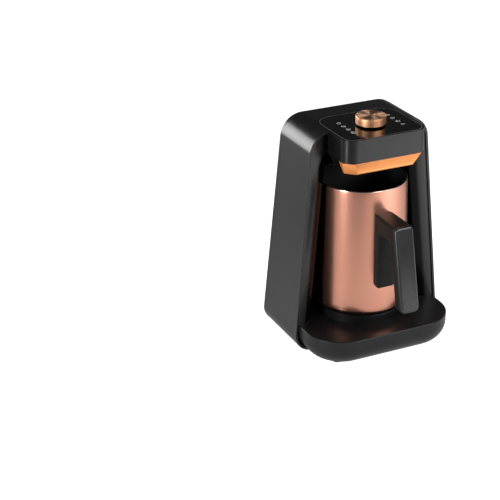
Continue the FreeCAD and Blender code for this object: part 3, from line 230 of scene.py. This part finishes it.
def paint_alcove_shade(material, dark, rough):
    """Satin stays on faces that look to the front; the alcove's walls and lip turn dark with painted shade,
    and less shiny.
    """
    tree = material.node_tree
    link = tree.links.new
    shader = tree.nodes["Principled BSDF"]
    place = add(tree, "ShaderNodeTexCoord")
    facing = add(tree, "ShaderNodeSeparateXYZ")
    link(place.outputs["Normal"], facing.inputs["Vector"])
    inner = add(tree, "ShaderNodeMapRange")
    inner.inputs["From Min"].default_value = FACING_FRONT
    inner.inputs["From Max"].default_value = FACING_INWARDS
    link(facing.outputs["Y"], inner.inputs["Value"])
    spot = add(tree, "ShaderNodeSeparateXYZ")
    link(place.outputs["Object"], spot.inputs["Vector"])
    side = add(tree, "ShaderNodeMath", operation="ABSOLUTE")
    link(spot.outputs["X"], side.inputs[0])
    leaned = add(tree, "ShaderNodeMath", operation="MULTIPLY_ADD")
    leaned.inputs[1].default_value = LIP_SHADE_LEAN
    link(spot.outputs["Z"], leaned.inputs[0])
    link(side.outputs["Value"], leaned.inputs[2])
    lip_shade = add(tree, "ShaderNodeMapRange")
    lip_shade.inputs["From Min"].default_value = LIP_SHADE_EDGE
    lip_shade.inputs["From Max"].default_value = LIP_SHADE_EDGE - LIP_SHADE_BLUR
    link(leaned.outputs["Value"], lip_shade.inputs["Value"])
    # Painted shade: 1 on the alcove's inward walls and on its lip band, 0 on faces that look to the front
    painted_shade = add(tree, "ShaderNodeMath", operation="MAXIMUM")
    link(inner.outputs["Result"], painted_shade.inputs[0])
    link(lip_shade.outputs["Result"], painted_shade.inputs[1])
    shine = add(tree, "ShaderNodeMapRange")
    shine.inputs["To Min"].default_value = 0.5
    shine.inputs["To Max"].default_value = 0.12
    link(painted_shade.outputs["Value"], shine.inputs["Value"])
    link(shine.outputs["Result"], shader.inputs["Specular IOR Level"])
    # The painted shade blends in the given dark colour and roughness
    for name, kind, value in (("Base Color", "RGBA", tint(dark)), ("Roughness", "FLOAT", rough)):
        source = shader.inputs[name].links[0].from_socket
        mix = add(tree, "ShaderNodeMix", data_type=kind)
        share, first, second = [socket for socket in mix.inputs if socket.enabled]
        link(painted_shade.outputs["Value"], share)
        link(source, first)
        second.default_value = value
        result = [socket for socket in mix.outputs if socket.enabled][0]
        link(result, shader.inputs[name])


# Painted shade of the alcove: colour 0.002 on its walls and lip
paint_alcove_shade(finish["satin_liner_painted_shade"], 0.002, 0.22)
finish["knob_top"] = spun_top("knob_top", (0.86, 0.47, 0.29), (0.97, 0.62, 0.42))

BY_SLOT = {
    "shell_black": "satin_shell", "liner_black": "satin_liner_painted_shade", "head_black": "satin_head",
    "base_black": "satin_base", "panel_black": "gloss_panel", "copper_trim": "brushed_trim",
    "copper_knob": "knob_side", "copper_pot": "satin_pot", "pot_disc": "pot_disc",
    "collar_black": "collar", "plate_metal": "hot_plate", "silicone": "silicone",
    "foot_rubber": "rubber", "steel": "plain_steel", "handle_black": "satin_handle",
    "board_green": "board", "part_black": "part_black", "part_yellow": "part_yellow",
    "part_green": "part_green", "knob_plastic": "knob_plastic", "window_dark": "window",
}
OUTER_SCREWS = ("handle_screws", "rear_cover_screws", "base_screws")
for entry in frame["record"]["subparts"]:
    kind = BY_SLOT[entry["material_slot"]]
    if entry["node"] in OUTER_SCREWS:
        kind = "dark_steel"
    mesh = nodes[entry["node"]].data
    mesh.materials.clear()
    mesh.materials.append(finish[kind])


# Smooth shading of the carried nodes, with sharp edges kept
def smooth(item, angle):
    for face in item.data.polygons:
        face.use_smooth = True
    item.modifiers.new("split", "EDGE_SPLIT").split_angle = angle


for node in nodes.values():
    node.modifiers.new("weld", "WELD").merge_threshold = WELD_GAP
    smooth(node, NODE_SPLIT)


# Mesh helpers
def piece(name, build, material, body, replaced=(), bevel=0.0):
    """Visible piece from its build function; body is one body that it is attached to, and with anything
    else, such as the arguments of a bend between two, the piece stays where it is built and nothing bends
    it.
    """
    mesh = bpy.data.meshes.new(name)
    work = bmesh.new()
    build(work)
    bmesh.ops.recalc_face_normals(work, faces=work.faces)
    work.to_mesh(mesh)
    work.free()
    item = bpy.data.objects.new(name, mesh)
    scene.collection.objects.link(item)
    mesh.materials.append(material)
    if bevel:
        edge = item.modifiers.new("bevel", "BEVEL")
        edge.width = bevel
        edge.segments = BEVEL_STEPS
        edge.limit_method = "ANGLE"
        edge.angle_limit = BEVEL_ANGLE
    smooth(item, PIECE_SPLIT)
    if isinstance(body, str):
        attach(item, body)
    else:
        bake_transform(item)
    if replaced:
        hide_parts(*replaced)
    return item


def loop_faces(work, first, second):
    """Band of quads between two closed loops with the same number of points."""
    count = len(first)
    for m in range(count):
        n = (m + 1) % count
        work.faces.new((first[m], first[n], second[n], second[m]))


def loft(work, loops):
    """Closed solid through the loops, with a flat face at each end."""
    for first, second in zip(loops, loops[1:]):
        loop_faces(work, first, second)
    work.faces.new(list(reversed(loops[0])))
    work.faces.new(loops[-1])


def turned(work, profile, centre, steps, wave=None):
    """Body of revolution from (radius, height) pairs; wave adds relief by step, radius and height."""
    rings = []
    for radius, height in profile:
        if radius == 0.0:
            rings.append([work.verts.new((*centre, height))])
            continue
        ring = []
        for i in range(steps):
            turn = 2 * math.pi * i / steps
            reach = radius + (wave(i, radius, height) if wave else 0.0)
            ring.append(work.verts.new((
                centre[0] + reach * math.cos(turn), centre[1] + reach * math.sin(turn), height,
            )))
        rings.append(ring)
    for low, high in zip(rings, rings[1:]):
        if len(low) > 1 and len(high) > 1:
            loop_faces(work, low, high)
            continue
        tip, ring = (low[0], high) if len(low) == 1 else (high[0], low)
        for i in range(steps):
            work.faces.new((ring[i], ring[(i + 1) % steps], tip))


def softened(corners, radii, steps):
    """Outline with its corners rounded by the given radii."""
    points = []
    count = len(corners)
    for i, (corner, radius) in enumerate(zip(corners, radii)):
        here = Vector(corner)
        before = (Vector(corners[i - 1]) - here).normalized()
        after = (Vector(corners[(i + 1) % count]) - here).normalized()
        half = before.angle(after) / 2
        back = radius / math.tan(half)
        centre = here + (before + after).normalized() * (radius / math.sin(half))
        start = here + before * back - centre
        end = here + after * back - centre
        sweep = math.atan2(start.x * end.y - start.y * end.x, start.dot(end))
        for k in range(steps + 1):
            turn = sweep * k / steps
            points.append((
                centre.x + start.x * math.cos(turn) - start.y * math.sin(turn),
                centre.y + start.x * math.sin(turn) + start.y * math.cos(turn),
            ))
    return points


def inset(corners, radii, depth, steps):
    """Rounded outline moved inwards by depth; its winding is anticlockwise."""
    moved = []
    sizes = []
    count = len(corners)
    for i, (corner, radius) in enumerate(zip(corners, radii)):
        here = Vector(corner)
        before = (here - Vector(corners[i - 1])).normalized()
        after = (Vector(corners[(i + 1) % count]) - here).normalized()
        first, second = Vector((-before.y, before.x)), Vector((-after.y, after.x))
        moved.append(tuple(here + (first + second) / (1 + first.dot(second)) * depth))
        convex = before.x * after.y - before.y * after.x > 0
        sizes.append(max(radius - depth, LEAST_ROUND) if convex else radius + depth)
    return softened(moved, sizes, steps)


def quarter(k, turns, radius):
    """Step k of a rounded rim: distance from its side, and distance from its face."""
    turn = math.radians(90 * k / turns)
    return radius * (1 - math.cos(turn)), radius * (1 - math.sin(turn))


# Knob: ribbed side, soft rim, spun top
KNOB_RIBS = 150
RIB_DEPTH = 0.00006
RIB_FROM_BOTTOM = 0.0009
RIB_FROM_TOP = 0.0016
RIB_SKIN = 0.0004
TOP_BAND = 0.0009


def rib(step, radius, height):
    """Groove at every second step of the straight side."""
    between = knob_low.z + RIB_FROM_BOTTOM < height < knob_high.z - RIB_FROM_TOP
    on_side = between and radius > knob_r - RIB_SKIN
    return -RIB_DEPTH if on_side and step % 2 else 0.0


def build_knob(work):
    low, high = knob_low.z, knob_high.z
    profile = [
        (knob_r - 0.0018, high - 0.0018), (knob_r - 0.0018, low), (knob_r - 0.0006, low),
        (knob_r - 0.00005, low + 0.0005), (knob_r, low + 0.0010), (knob_r, high - 0.0017),
        (knob_r - 0.00005, high - 0.0012), (knob_r - 0.0003, high - 0.0006),
        (knob_r - 0.0009, high - 0.0001), (knob_r - 0.0014, high), (knob_r * 0.5, high - 0.00012),
        (0.0, high - 0.00018),
    ]
    turned(work, profile, (0.0, knob_y), KNOB_RIBS * 2, rib)


knob = piece("knob_turned", build_knob, finish["knob_side"], "knob", ("knob_cap",))
knob.data.materials.append(finish["knob_top"])
for face in knob.data.polygons:
    if face.center.z > knob_high.z - TOP_BAND:
        face.material_index = 1

# Pot: drawn bowl with a round foot, a round rim and a dark inside
POT_R_LOW = 0.0499
POT_R_HIGH = 0.0468
POT_WALL = 0.0012
FOOT_ROUND = 0.004
INNER_FROM_TOP = 0.003
INNER_FROM_FLOOR = 0.006
INNER_FOOT = 0.0004
RIM_BAND = 0.0009
FLOOR_BAND = 0.001
POT_TOP = pot_high.z
POT_FLOOR = pot_low.z


def pot_r(height):
    """Outer radius of the pot at a height."""
    return POT_R_LOW - (height - POT_FLOOR) * (POT_R_LOW - POT_R_HIGH) / (POT_TOP - POT_FLOOR)


def build_pot(work):
    """Profile from the middle of the underside, over the rim, to the middle of the floor."""
    rim = POT_WALL / 2
    foot = pot_r(POT_FLOOR) - FOOT_ROUND
    inner_high = POT_TOP - INNER_FROM_TOP - POT_FLOOR - INNER_FROM_FLOOR
    profile = [(0.0, POT_FLOOR)]
    for k in range(9):
        turn = math.radians(-90 + 90 * k / 8)
        profile.append((
            foot + FOOT_ROUND * math.cos(turn), POT_FLOOR + FOOT_ROUND + FOOT_ROUND * math.sin(turn),
        ))
    for k in range(1, 24):
        height = POT_FLOOR + FOOT_ROUND + (POT_TOP - POT_WALL - POT_FLOOR - FOOT_ROUND) * k / 23
        profile.append((pot_r(height), height))
    for k in range(1, 9):
        turn = math.radians(180 * k / 8)
        profile.append((pot_r(POT_TOP) - rim + rim * math.cos(turn), POT_TOP - rim + rim * math.sin(turn)))
    for k in range(9):
        height = POT_TOP - INNER_FROM_TOP - inner_high * k / 8
        profile.append((pot_r(height) - POT_WALL, height))
    profile.append((foot - POT_WALL, POT_FLOOR + POT_WALL + INNER_FOOT))
    profile.append((0.0, POT_FLOOR + POT_WALL))
    turned(work, profile, (0.0, pot_y), 160)


pot = piece("pot_drawn", build_pot, finish["satin_pot"], "pot", ("pot_shell",))
pot.data.materials.append(finish["pot_inside"])
pot.data.materials.append(finish["pot_rim"])
for face in pot.data.polygons:
    reach = math.hypot(face.center.x, face.center.y - pot_y)
    # Faces at the top of the rim take the paler copper of the painted rim highlight
    if face.center.z > POT_TOP - RIM_BAND:
        face.material_index = 2
    elif reach < pot_r(face.center.z) - POT_WALL / 2 and face.center.z > POT_FLOOR + FLOOR_BAND:
        face.material_index = 1

# Trim band: narrows downwards, straight facets at its front corners, shallow recess in its front
TRIM_WALL = 0.0016
TRIM_FACET = 0.0090
TRIM_DRAWN = 0.0055
TRIM_BEVEL = 0.00025
RECESS_MARGIN = 0.0021
RECESS_SLOPE = 0.0004
RECESS_DEPTH = 0.0007


def trim_loop(drawn, wall):
    """Half ring seen from above, open to the rear."""
    half, front = trim_high.x - drawn - wall, trim_low.y + drawn + wall
    leg = TRIM_FACET - wall * (2 - math.sqrt(2))
    rear = trim_high.y
    return [
        (half, rear), (half, front + leg), (half - leg, front),
        (leg - half, front), (-half, front + leg), (-half, rear),
    ]


def build_trim(work):
    rows = []
    for wall in (0.0, TRIM_WALL):
        for drawn, height in ((0.0, trim_high.z), (TRIM_DRAWN, trim_low.z)):
            rows.append([work.verts.new((x, y, height)) for x, y in trim_loop(drawn, wall)])
    outer_top, outer_low, inner_top, inner_low = rows
    count = len(outer_top)
    outer_faces = []
    for i in range(count - 1):
        outer_faces.append(work.faces.new((outer_top[i], outer_top[i + 1], outer_low[i + 1], outer_low[i])))
        work.faces.new((inner_top[i + 1], inner_top[i], inner_low[i], inner_low[i + 1]))
        work.faces.new((outer_top[i + 1], outer_top[i], inner_top[i], inner_top[i + 1]))
        work.faces.new((outer_low[i], outer_low[i + 1], inner_low[i + 1], inner_low[i]))
    for i in (0, count - 1):
        work.faces.new((outer_top[i], outer_low[i], inner_low[i], inner_top[i]))
    bmesh.ops.recalc_face_normals(work, faces=work.faces)
    front = outer_faces[2]
    bmesh.ops.inset_individual(work, faces=[front], thickness=RECESS_MARGIN, depth=0.0)
    bmesh.ops.inset_individual(work, faces=[front], thickness=RECESS_SLOPE, depth=-RECESS_DEPTH)


piece(
    "trim_facets", build_trim, finish["brushed_trim"], "housing", ("trim_band",),
    bevel=TRIM_BEVEL,
)

# Spring of the sensor: round wire on a helix; spring_path holds the ends of a bend with the cap, which
# nothing here makes
SPRING_WIRE = 0.0003
SPRING_TURNS = 5
SPRING_SIDES = 8
SPRING_REST = 0.0005
spring_axis = ((spring_low.x + spring_high.x) / 2, (spring_low.y + spring_high.y) / 2)


def build_spring(work):
    reach = (spring_high.x - spring_low.x) / 2 - SPRING_WIRE
    low, high = spring_low.z + SPRING_WIRE, spring_high.z - SPRING_WIRE
    steps = SPRING_TURNS * 24
    loops = []
    for k in range(steps + 1):
        share = k / steps
        turn = 2 * math.pi * SPRING_TURNS * share
        out = Vector((math.cos(turn), math.sin(turn), 0.0))
        centre = Vector((*spring_axis, low + (high - low) * share)) + out * reach
        loop = []
        for m in range(SPRING_SIDES):
            roll = 2 * math.pi * m / SPRING_SIDES
            rise = Vector((0, 0, SPRING_WIRE * math.sin(roll)))
            loop.append(work.verts.new(centre + out * SPRING_WIRE * math.cos(roll) + rise))
        loops.append(loop)
    loft(work, loops)


spring_path = (
    "housing", "sensor",
    (*spring_axis, spring_low.z + SPRING_REST), (*spring_axis, spring_high.z - SPRING_REST),
)
piece("spring_wire", build_spring, finish["plain_steel"], spring_path, ("sensor_spring",))

# Marks and border line of the touch panel
ROW_Y = (0.0240, 0.0137, 0.0034, -0.0069)
LEFT_X = -0.0272
RIGHT_X = 0.0292
SIGN = 0.0020
STROKE = 0.00075
MARK_SUNK = 0.00002
MARK_PROUD = 0.00008
PANEL_FRONT_ROUND = 0.0121
PANEL_REAR_ROUND = 0.0192
LINE_OUTER = 0.0002
LINE_INNER = 0.0010
LINE_PROUD = 0.00006
LINE_THICK = 0.00008


def bar(x0, y0, x1, y1):
    """Corners of one straight stroke."""
    along = Vector((x1 - x0, y1 - y0)).normalized() * (STROKE / 2)
    side = Vector((-along.y, along.x))
    a, b = Vector((x0, y0)), Vector((x1, y1))
    return [tuple(a - side), tuple(b - side), tuple(b + side), tuple(a + side)]


def cup(x, y):
    """Strokes of a small cup seen from the side."""
    half, low, high = SIGN * 0.7, y - SIGN, y + SIGN * 0.5
    return [
        bar(x - SIGN, high, x - half, low), bar(x - half, low, x + half, low),
        bar(x + half, low, x + SIGN, high), bar(x - SIGN, high, x + SIGN, high),
    ]


def arc(x, y, start, end, count):
    """Strokes along part of a circle, between two angles in degrees."""
    turns = [math.radians(start + (end - start) * k / count) for k in range(count + 1)]
    points = [(x + SIGN * math.cos(turn), y + SIGN * math.sin(turn)) for turn in turns]
    return [bar(*a, *b) for a, b in zip(points, points[1:])]


def mark(name, strokes):
    """Light sign made of thin strokes, let slightly into the panel."""
    def build(work):
        low, high = panel_high.z - MARK_SUNK, panel_high.z + MARK_PROUD
        for outline in strokes:
            loft(work, [[work.verts.new((x, y, level)) for x, y in outline] for level in (low, high)])
    piece(name, build, finish["white_mark"], "housing")


cups = []
for count, y in enumerate(ROW_Y):
    cups += cup(LEFT_X, y)
    for k in range(count):
        x = LEFT_X - 0.0012 + 0.0009 * k
        cups.append(bar(x, y + 0.0016, x, y + 0.0027))
mark("panel_marks_left", cups)

power_y, clock_y, mug_y, bars_y = ROW_Y
signs = arc(RIGHT_X, power_y, 120, 420, 12)
signs.append(bar(RIGHT_X, power_y + 0.0003, RIGHT_X, power_y + 0.0024))
signs += arc(RIGHT_X, clock_y, 0, 360, 14)
signs.append(bar(RIGHT_X, clock_y, RIGHT_X, clock_y + 0.0012))
signs.append(bar(RIGHT_X, clock_y, RIGHT_X + 0.0010, clock_y))
signs += cup(RIGHT_X, mug_y)
signs.append(bar(RIGHT_X + 0.0016, mug_y + 0.0004, RIGHT_X + 0.0026, mug_y + 0.0004))
for k in range(3):
    x = RIGHT_X - 0.0014 + 0.0014 * k
    signs.append(bar(x, bars_y - 0.0014, x, bars_y + 0.0014))
mark("panel_marks_right", signs)


def border_loop(gap):
    """Rounded outline of the panel, moved inwards by a gap."""
    left, right = panel_low.x + gap, panel_high.x - gap
    front, rear = panel_low.y + gap, panel_high.y - gap
    corners = [(left, front), (right, front), (right, rear), (left, rear)]
    front_round, rear_round = PANEL_FRONT_ROUND - gap, PANEL_REAR_ROUND - gap
    return softened(corners, [front_round, front_round, rear_round, rear_round], 12)


def build_border(work):
    """Fine light line just inside the panel's edge."""
    outer, inner = border_loop(LINE_OUTER), border_loop(LINE_INNER)
    top = panel_high.z + LINE_PROUD
    low = top - LINE_THICK
    loops = [
        [work.verts.new((x, y, level)) for x, y in outline]
        for outline, level in ((outer, top), (inner, top), (inner, low), (outer, low))
    ]
    for first, second in zip(loops, loops[1:] + loops[:1]):
        loop_faces(work, first, second)


piece("panel_border", build_border, finish["panel_line"], "housing")

# Handle: pad, arm and grip in one form, and the cover plate of the grip
GRIP_HALF = (grip_high.x - grip_low.x) / 2
ARM_TOP = hand_high.z
ARM_LOW = ARM_TOP - 0.0175
GRIP_BOTTOM = hand_low.z + 0.0025
GRIP_TOP_Y = -0.0652
GRIP_LOW_Y = grip_low.y + 0.0006
GRIP_LEAN = (GRIP_TOP_Y - GRIP_LOW_Y) / (grip_high.z - grip_low.z)
GRIP_DEEP = 0.0135
COVER_DEEP = 0.0026
COVER_RIM = 0.0021
COVER_ROUNDS = [0.0052, 0.0052, 0.0042, 0.0042]
COVER_OVER_TOP = 0.0002
COVER_OVER_LOW = 0.0018
COVER_NARROWER = 0.0001
PAD_LOW = 0.0790
PAD_Y = -0.0335
PAD_BACK_Y = -0.0240
PAD_REACH = 0.008
END_ROUND = 0.0052
HOOK_RIM = 0.0028
HOOK_WIDER = 0.0003
SKIN = 0.0002


def face_y(height, back):
    """Place of the grip's leaning front face at a height, moved back into the grip."""
    return GRIP_LOW_Y + (height - grip_low.z) * GRIP_LEAN + back


def on_pot(y, z, level):
    """Side view point put at its sideways level, held outside the pot, with round lower ends."""
    radius = pot_r(z) + SKIN
    wall = pot_y - math.sqrt(radius ** 2 - level ** 2)
    floor = PAD_LOW if y > PAD_Y - PAD_REACH else GRIP_BOTTOM
    over = max(abs(level) - (GRIP_HALF - END_ROUND), 0.0)
    lift = END_ROUND - math.sqrt(max(END_ROUND ** 2 - over ** 2, 0.0))
    return (level, min(y, wall), max(z, floor + lift))


HOOK = [
    (PAD_BACK_Y, ARM_TOP), (face_y(ARM_TOP, COVER_DEEP), ARM_TOP),
    (face_y(GRIP_BOTTOM, COVER_DEEP), GRIP_BOTTOM), (face_y(GRIP_BOTTOM, GRIP_DEEP), GRIP_BOTTOM),
    (face_y(ARM_LOW, GRIP_DEEP), ARM_LOW), (PAD_Y, ARM_LOW), (PAD_Y, PAD_LOW), (PAD_BACK_Y, PAD_LOW),
]
HOOK_RADII = [0.0004, 0.0012, 0.0024, 0.0048, 0.0060, 0.0065, 0.0045, 0.0008]


def build_hook(work, turns=8, middle=14):
    """Layers from one side to the other, each inset as its rounded rim asks."""
    half = GRIP_HALF + HOOK_WIDER
    reach = half - HOOK_RIM
    rim = [(side - half, depth) for side, depth in (quarter(k, turns, HOOK_RIM) for k in range(turns + 1))]
    levels = rim + [(-reach + 2 * reach * k / middle, 0.0) for k in range(1, middle)]
    levels += [(-level, depth) for level, depth in reversed(rim)]
    loft(work, [
        [work.verts.new(on_pot(y, z, level)) for y, z in inset(HOOK, HOOK_RADII, depth, 8)]
        for level, depth in levels
    ])


piece(
    "handle_hook", build_hook, finish["satin_handle"], "pot", ("handle", "handle_screws"),
)


def build_cover(work, turns=6):
    """Long plate with round corners and a soft rim on its outer face."""
    top, low = grip_high.z + COVER_OVER_TOP, grip_low.z + COVER_OVER_LOW
    wide = GRIP_HALF - COVER_NARROWER
    corners = [(-wide, low), (wide, low), (wide, top), (-wide, top)]
    loops = []
    for k in range(turns + 1):
        depth, back = quarter(k, turns, COVER_RIM)
        outline = inset(corners, COVER_ROUNDS, depth, 8)
        loops.append([work.verts.new((x, face_y(z, back), z)) for x, z in outline])
    rear = [work.verts.new((v.co.x, face_y(v.co.z, COVER_DEEP + SKIN), v.co.z)) for v in loops[0]]
    loft(work, [rear] + loops)


piece("grip_front", build_cover, finish["satin_grip"], "pot", ("grip_cover",))

# Studio lights: name, place, aim, size, power, spread in degrees
LAMPS = (
    ("rear_left", (-0.62, 1.15, 0.37), (-0.06, 0.04, 0.24), (1.0, 0.70), 1.9, 60.0),
    ("front_floor", (0.50, -0.65, 0.50), (0.42, -0.42, 0.0), (0.5, 0.4), 4.4, 120.0),
    ("left_strip", (-0.85, -0.24, 0.20), (0, 0, 0.12), (0.12, 0.44), 1.0, 70.0),
    ("front", (0.15, -1.25, 0.55), (0, 0, 0.15), (0.4, 0.4), 0.5, 60.0),
    ("over", (0.20, 0.30, 1.45), (0, 0, 0.1), (0.5, 0.5), 2.0, 180.0),
)
for name, place, aim, size, power, spread in LAMPS:
    lamp = bpy.data.lights.new(name, "AREA")
    lamp.shape = "RECTANGLE"
    lamp.size, lamp.size_y = size
    lamp.energy = power
    lamp.spread = math.radians(spread)
    item = bpy.data.objects.new(name, lamp)
    scene.collection.objects.link(item)
    item.location = place
    item.rotation_euler = (Vector(aim) - Vector(place)).to_track_quat("-Z", "Y").to_euler()

# World: white to the camera, a dim grey that darkens upwards to everything else
world = bpy.data.worlds.new("studio")
scene.world = world
world.use_nodes = True
tree = world.node_tree
link = tree.links.new
dim = tree.nodes["Background"]
place = add(tree, "ShaderNodeTexCoord")
split = add(tree, "ShaderNodeSeparateXYZ")
link(place.outputs["Generated"], split.inputs["Vector"])
fade = add(tree, "ShaderNodeValToRGB")
for element, position, level in zip(fade.color_ramp.elements, (0.0, 0.45), (0.12, 0.03)):
    element.position = position
    element.color = tint(level)
link(split.outputs["Z"], fade.inputs["Fac"])
link(fade.outputs["Color"], dim.inputs["Color"])
dim.inputs["Strength"].default_value = 1.0
white = add(tree, "ShaderNodeBackground")
white.inputs["Color"].default_value = tint(1.0)
white.inputs["Strength"].default_value = 1.0
rays = add(tree, "ShaderNodeLightPath")
mix = add(tree, "ShaderNodeMixShader")
link(rays.outputs["Is Camera Ray"], mix.inputs["Fac"])
link(dim.outputs["Background"], mix.inputs[1])
link(white.outputs["Background"], mix.inputs[2])
link(mix.outputs["Shader"], tree.nodes["World Output"].inputs["Surface"])

# Floor: pale paper that takes the shadow, lifted to white for the camera and a little for reflections
FLOOR_HALF = 6.0
CAMERA_GLOW = 0.97
GLOSSY_SHARE = 0.12
mesh = bpy.data.meshes.new("floor")
work = bmesh.new()
bmesh.ops.create_grid(work, x_segments=2, y_segments=2, size=FLOOR_HALF)
work.to_mesh(mesh)
work.free()
floor = bpy.data.objects.new("floor", mesh)
scene.collection.objects.link(floor)
material, tree, shader = new_material("floor_paper")
link = tree.links.new
shader.inputs["Base Color"].default_value = tint(0.82)
shader.inputs["Roughness"].default_value = 0.7
glow = add(tree, "ShaderNodeEmission")
glow.inputs["Color"].default_value = tint(1.0)
glow.inputs["Strength"].default_value = CAMERA_GLOW
rays = add(tree, "ShaderNodeLightPath")
part = add(tree, "ShaderNodeMath", operation="MULTIPLY")
part.inputs[1].default_value = GLOSSY_SHARE
link(rays.outputs["Is Glossy Ray"], part.inputs[0])
level = add(tree, "ShaderNodeMath", operation="MAXIMUM")
link(rays.outputs["Is Camera Ray"], level.inputs[0])
link(part.outputs["Value"], level.inputs[1])
dark = add(tree, "ShaderNodeEmission")
dark.inputs["Strength"].default_value = 0.0
pick = add(tree, "ShaderNodeMixShader")
link(level.outputs["Value"], pick.inputs["Fac"])
link(dark.outputs["Emission"], pick.inputs[1])
link(glow.outputs["Emission"], pick.inputs[2])
total = add(tree, "ShaderNodeAddShader")
link(shader.outputs["BSDF"], total.inputs[0])
link(pick.outputs["Shader"], total.inputs[1])
link(total.outputs["Shader"], tree.nodes["Material Output"].inputs["Surface"])
floor.data.materials.append(material)

# Camera: three axes, a small roll, its lens in millimetres and its place
RIGHT = Vector((0.91198, -0.41024, 0.0))
UP = Vector((0.17254, 0.38355, 0.90726))
REAR = Vector((-0.37220, -0.82740, 0.42057))
ROLL = 0.01414
LENS = 99.03
CAMERA_PLACE = (-0.6479, -1.1337, 0.7131)
camera_data = bpy.data.cameras.new("camera")
camera_data.sensor_width = 36.0
camera_data.lens = LENS
camera = bpy.data.objects.new("camera", camera_data)
scene.collection.objects.link(camera)
axes = ((RIGHT - ROLL * UP).normalized(), (UP + ROLL * RIGHT).normalized(), REAR)
matrix = Matrix(axes).transposed().to_4x4()
matrix.translation = CAMERA_PLACE
camera.matrix_world = matrix
scene.camera = camera
scene.view_settings.view_transform = "Standard"

import json
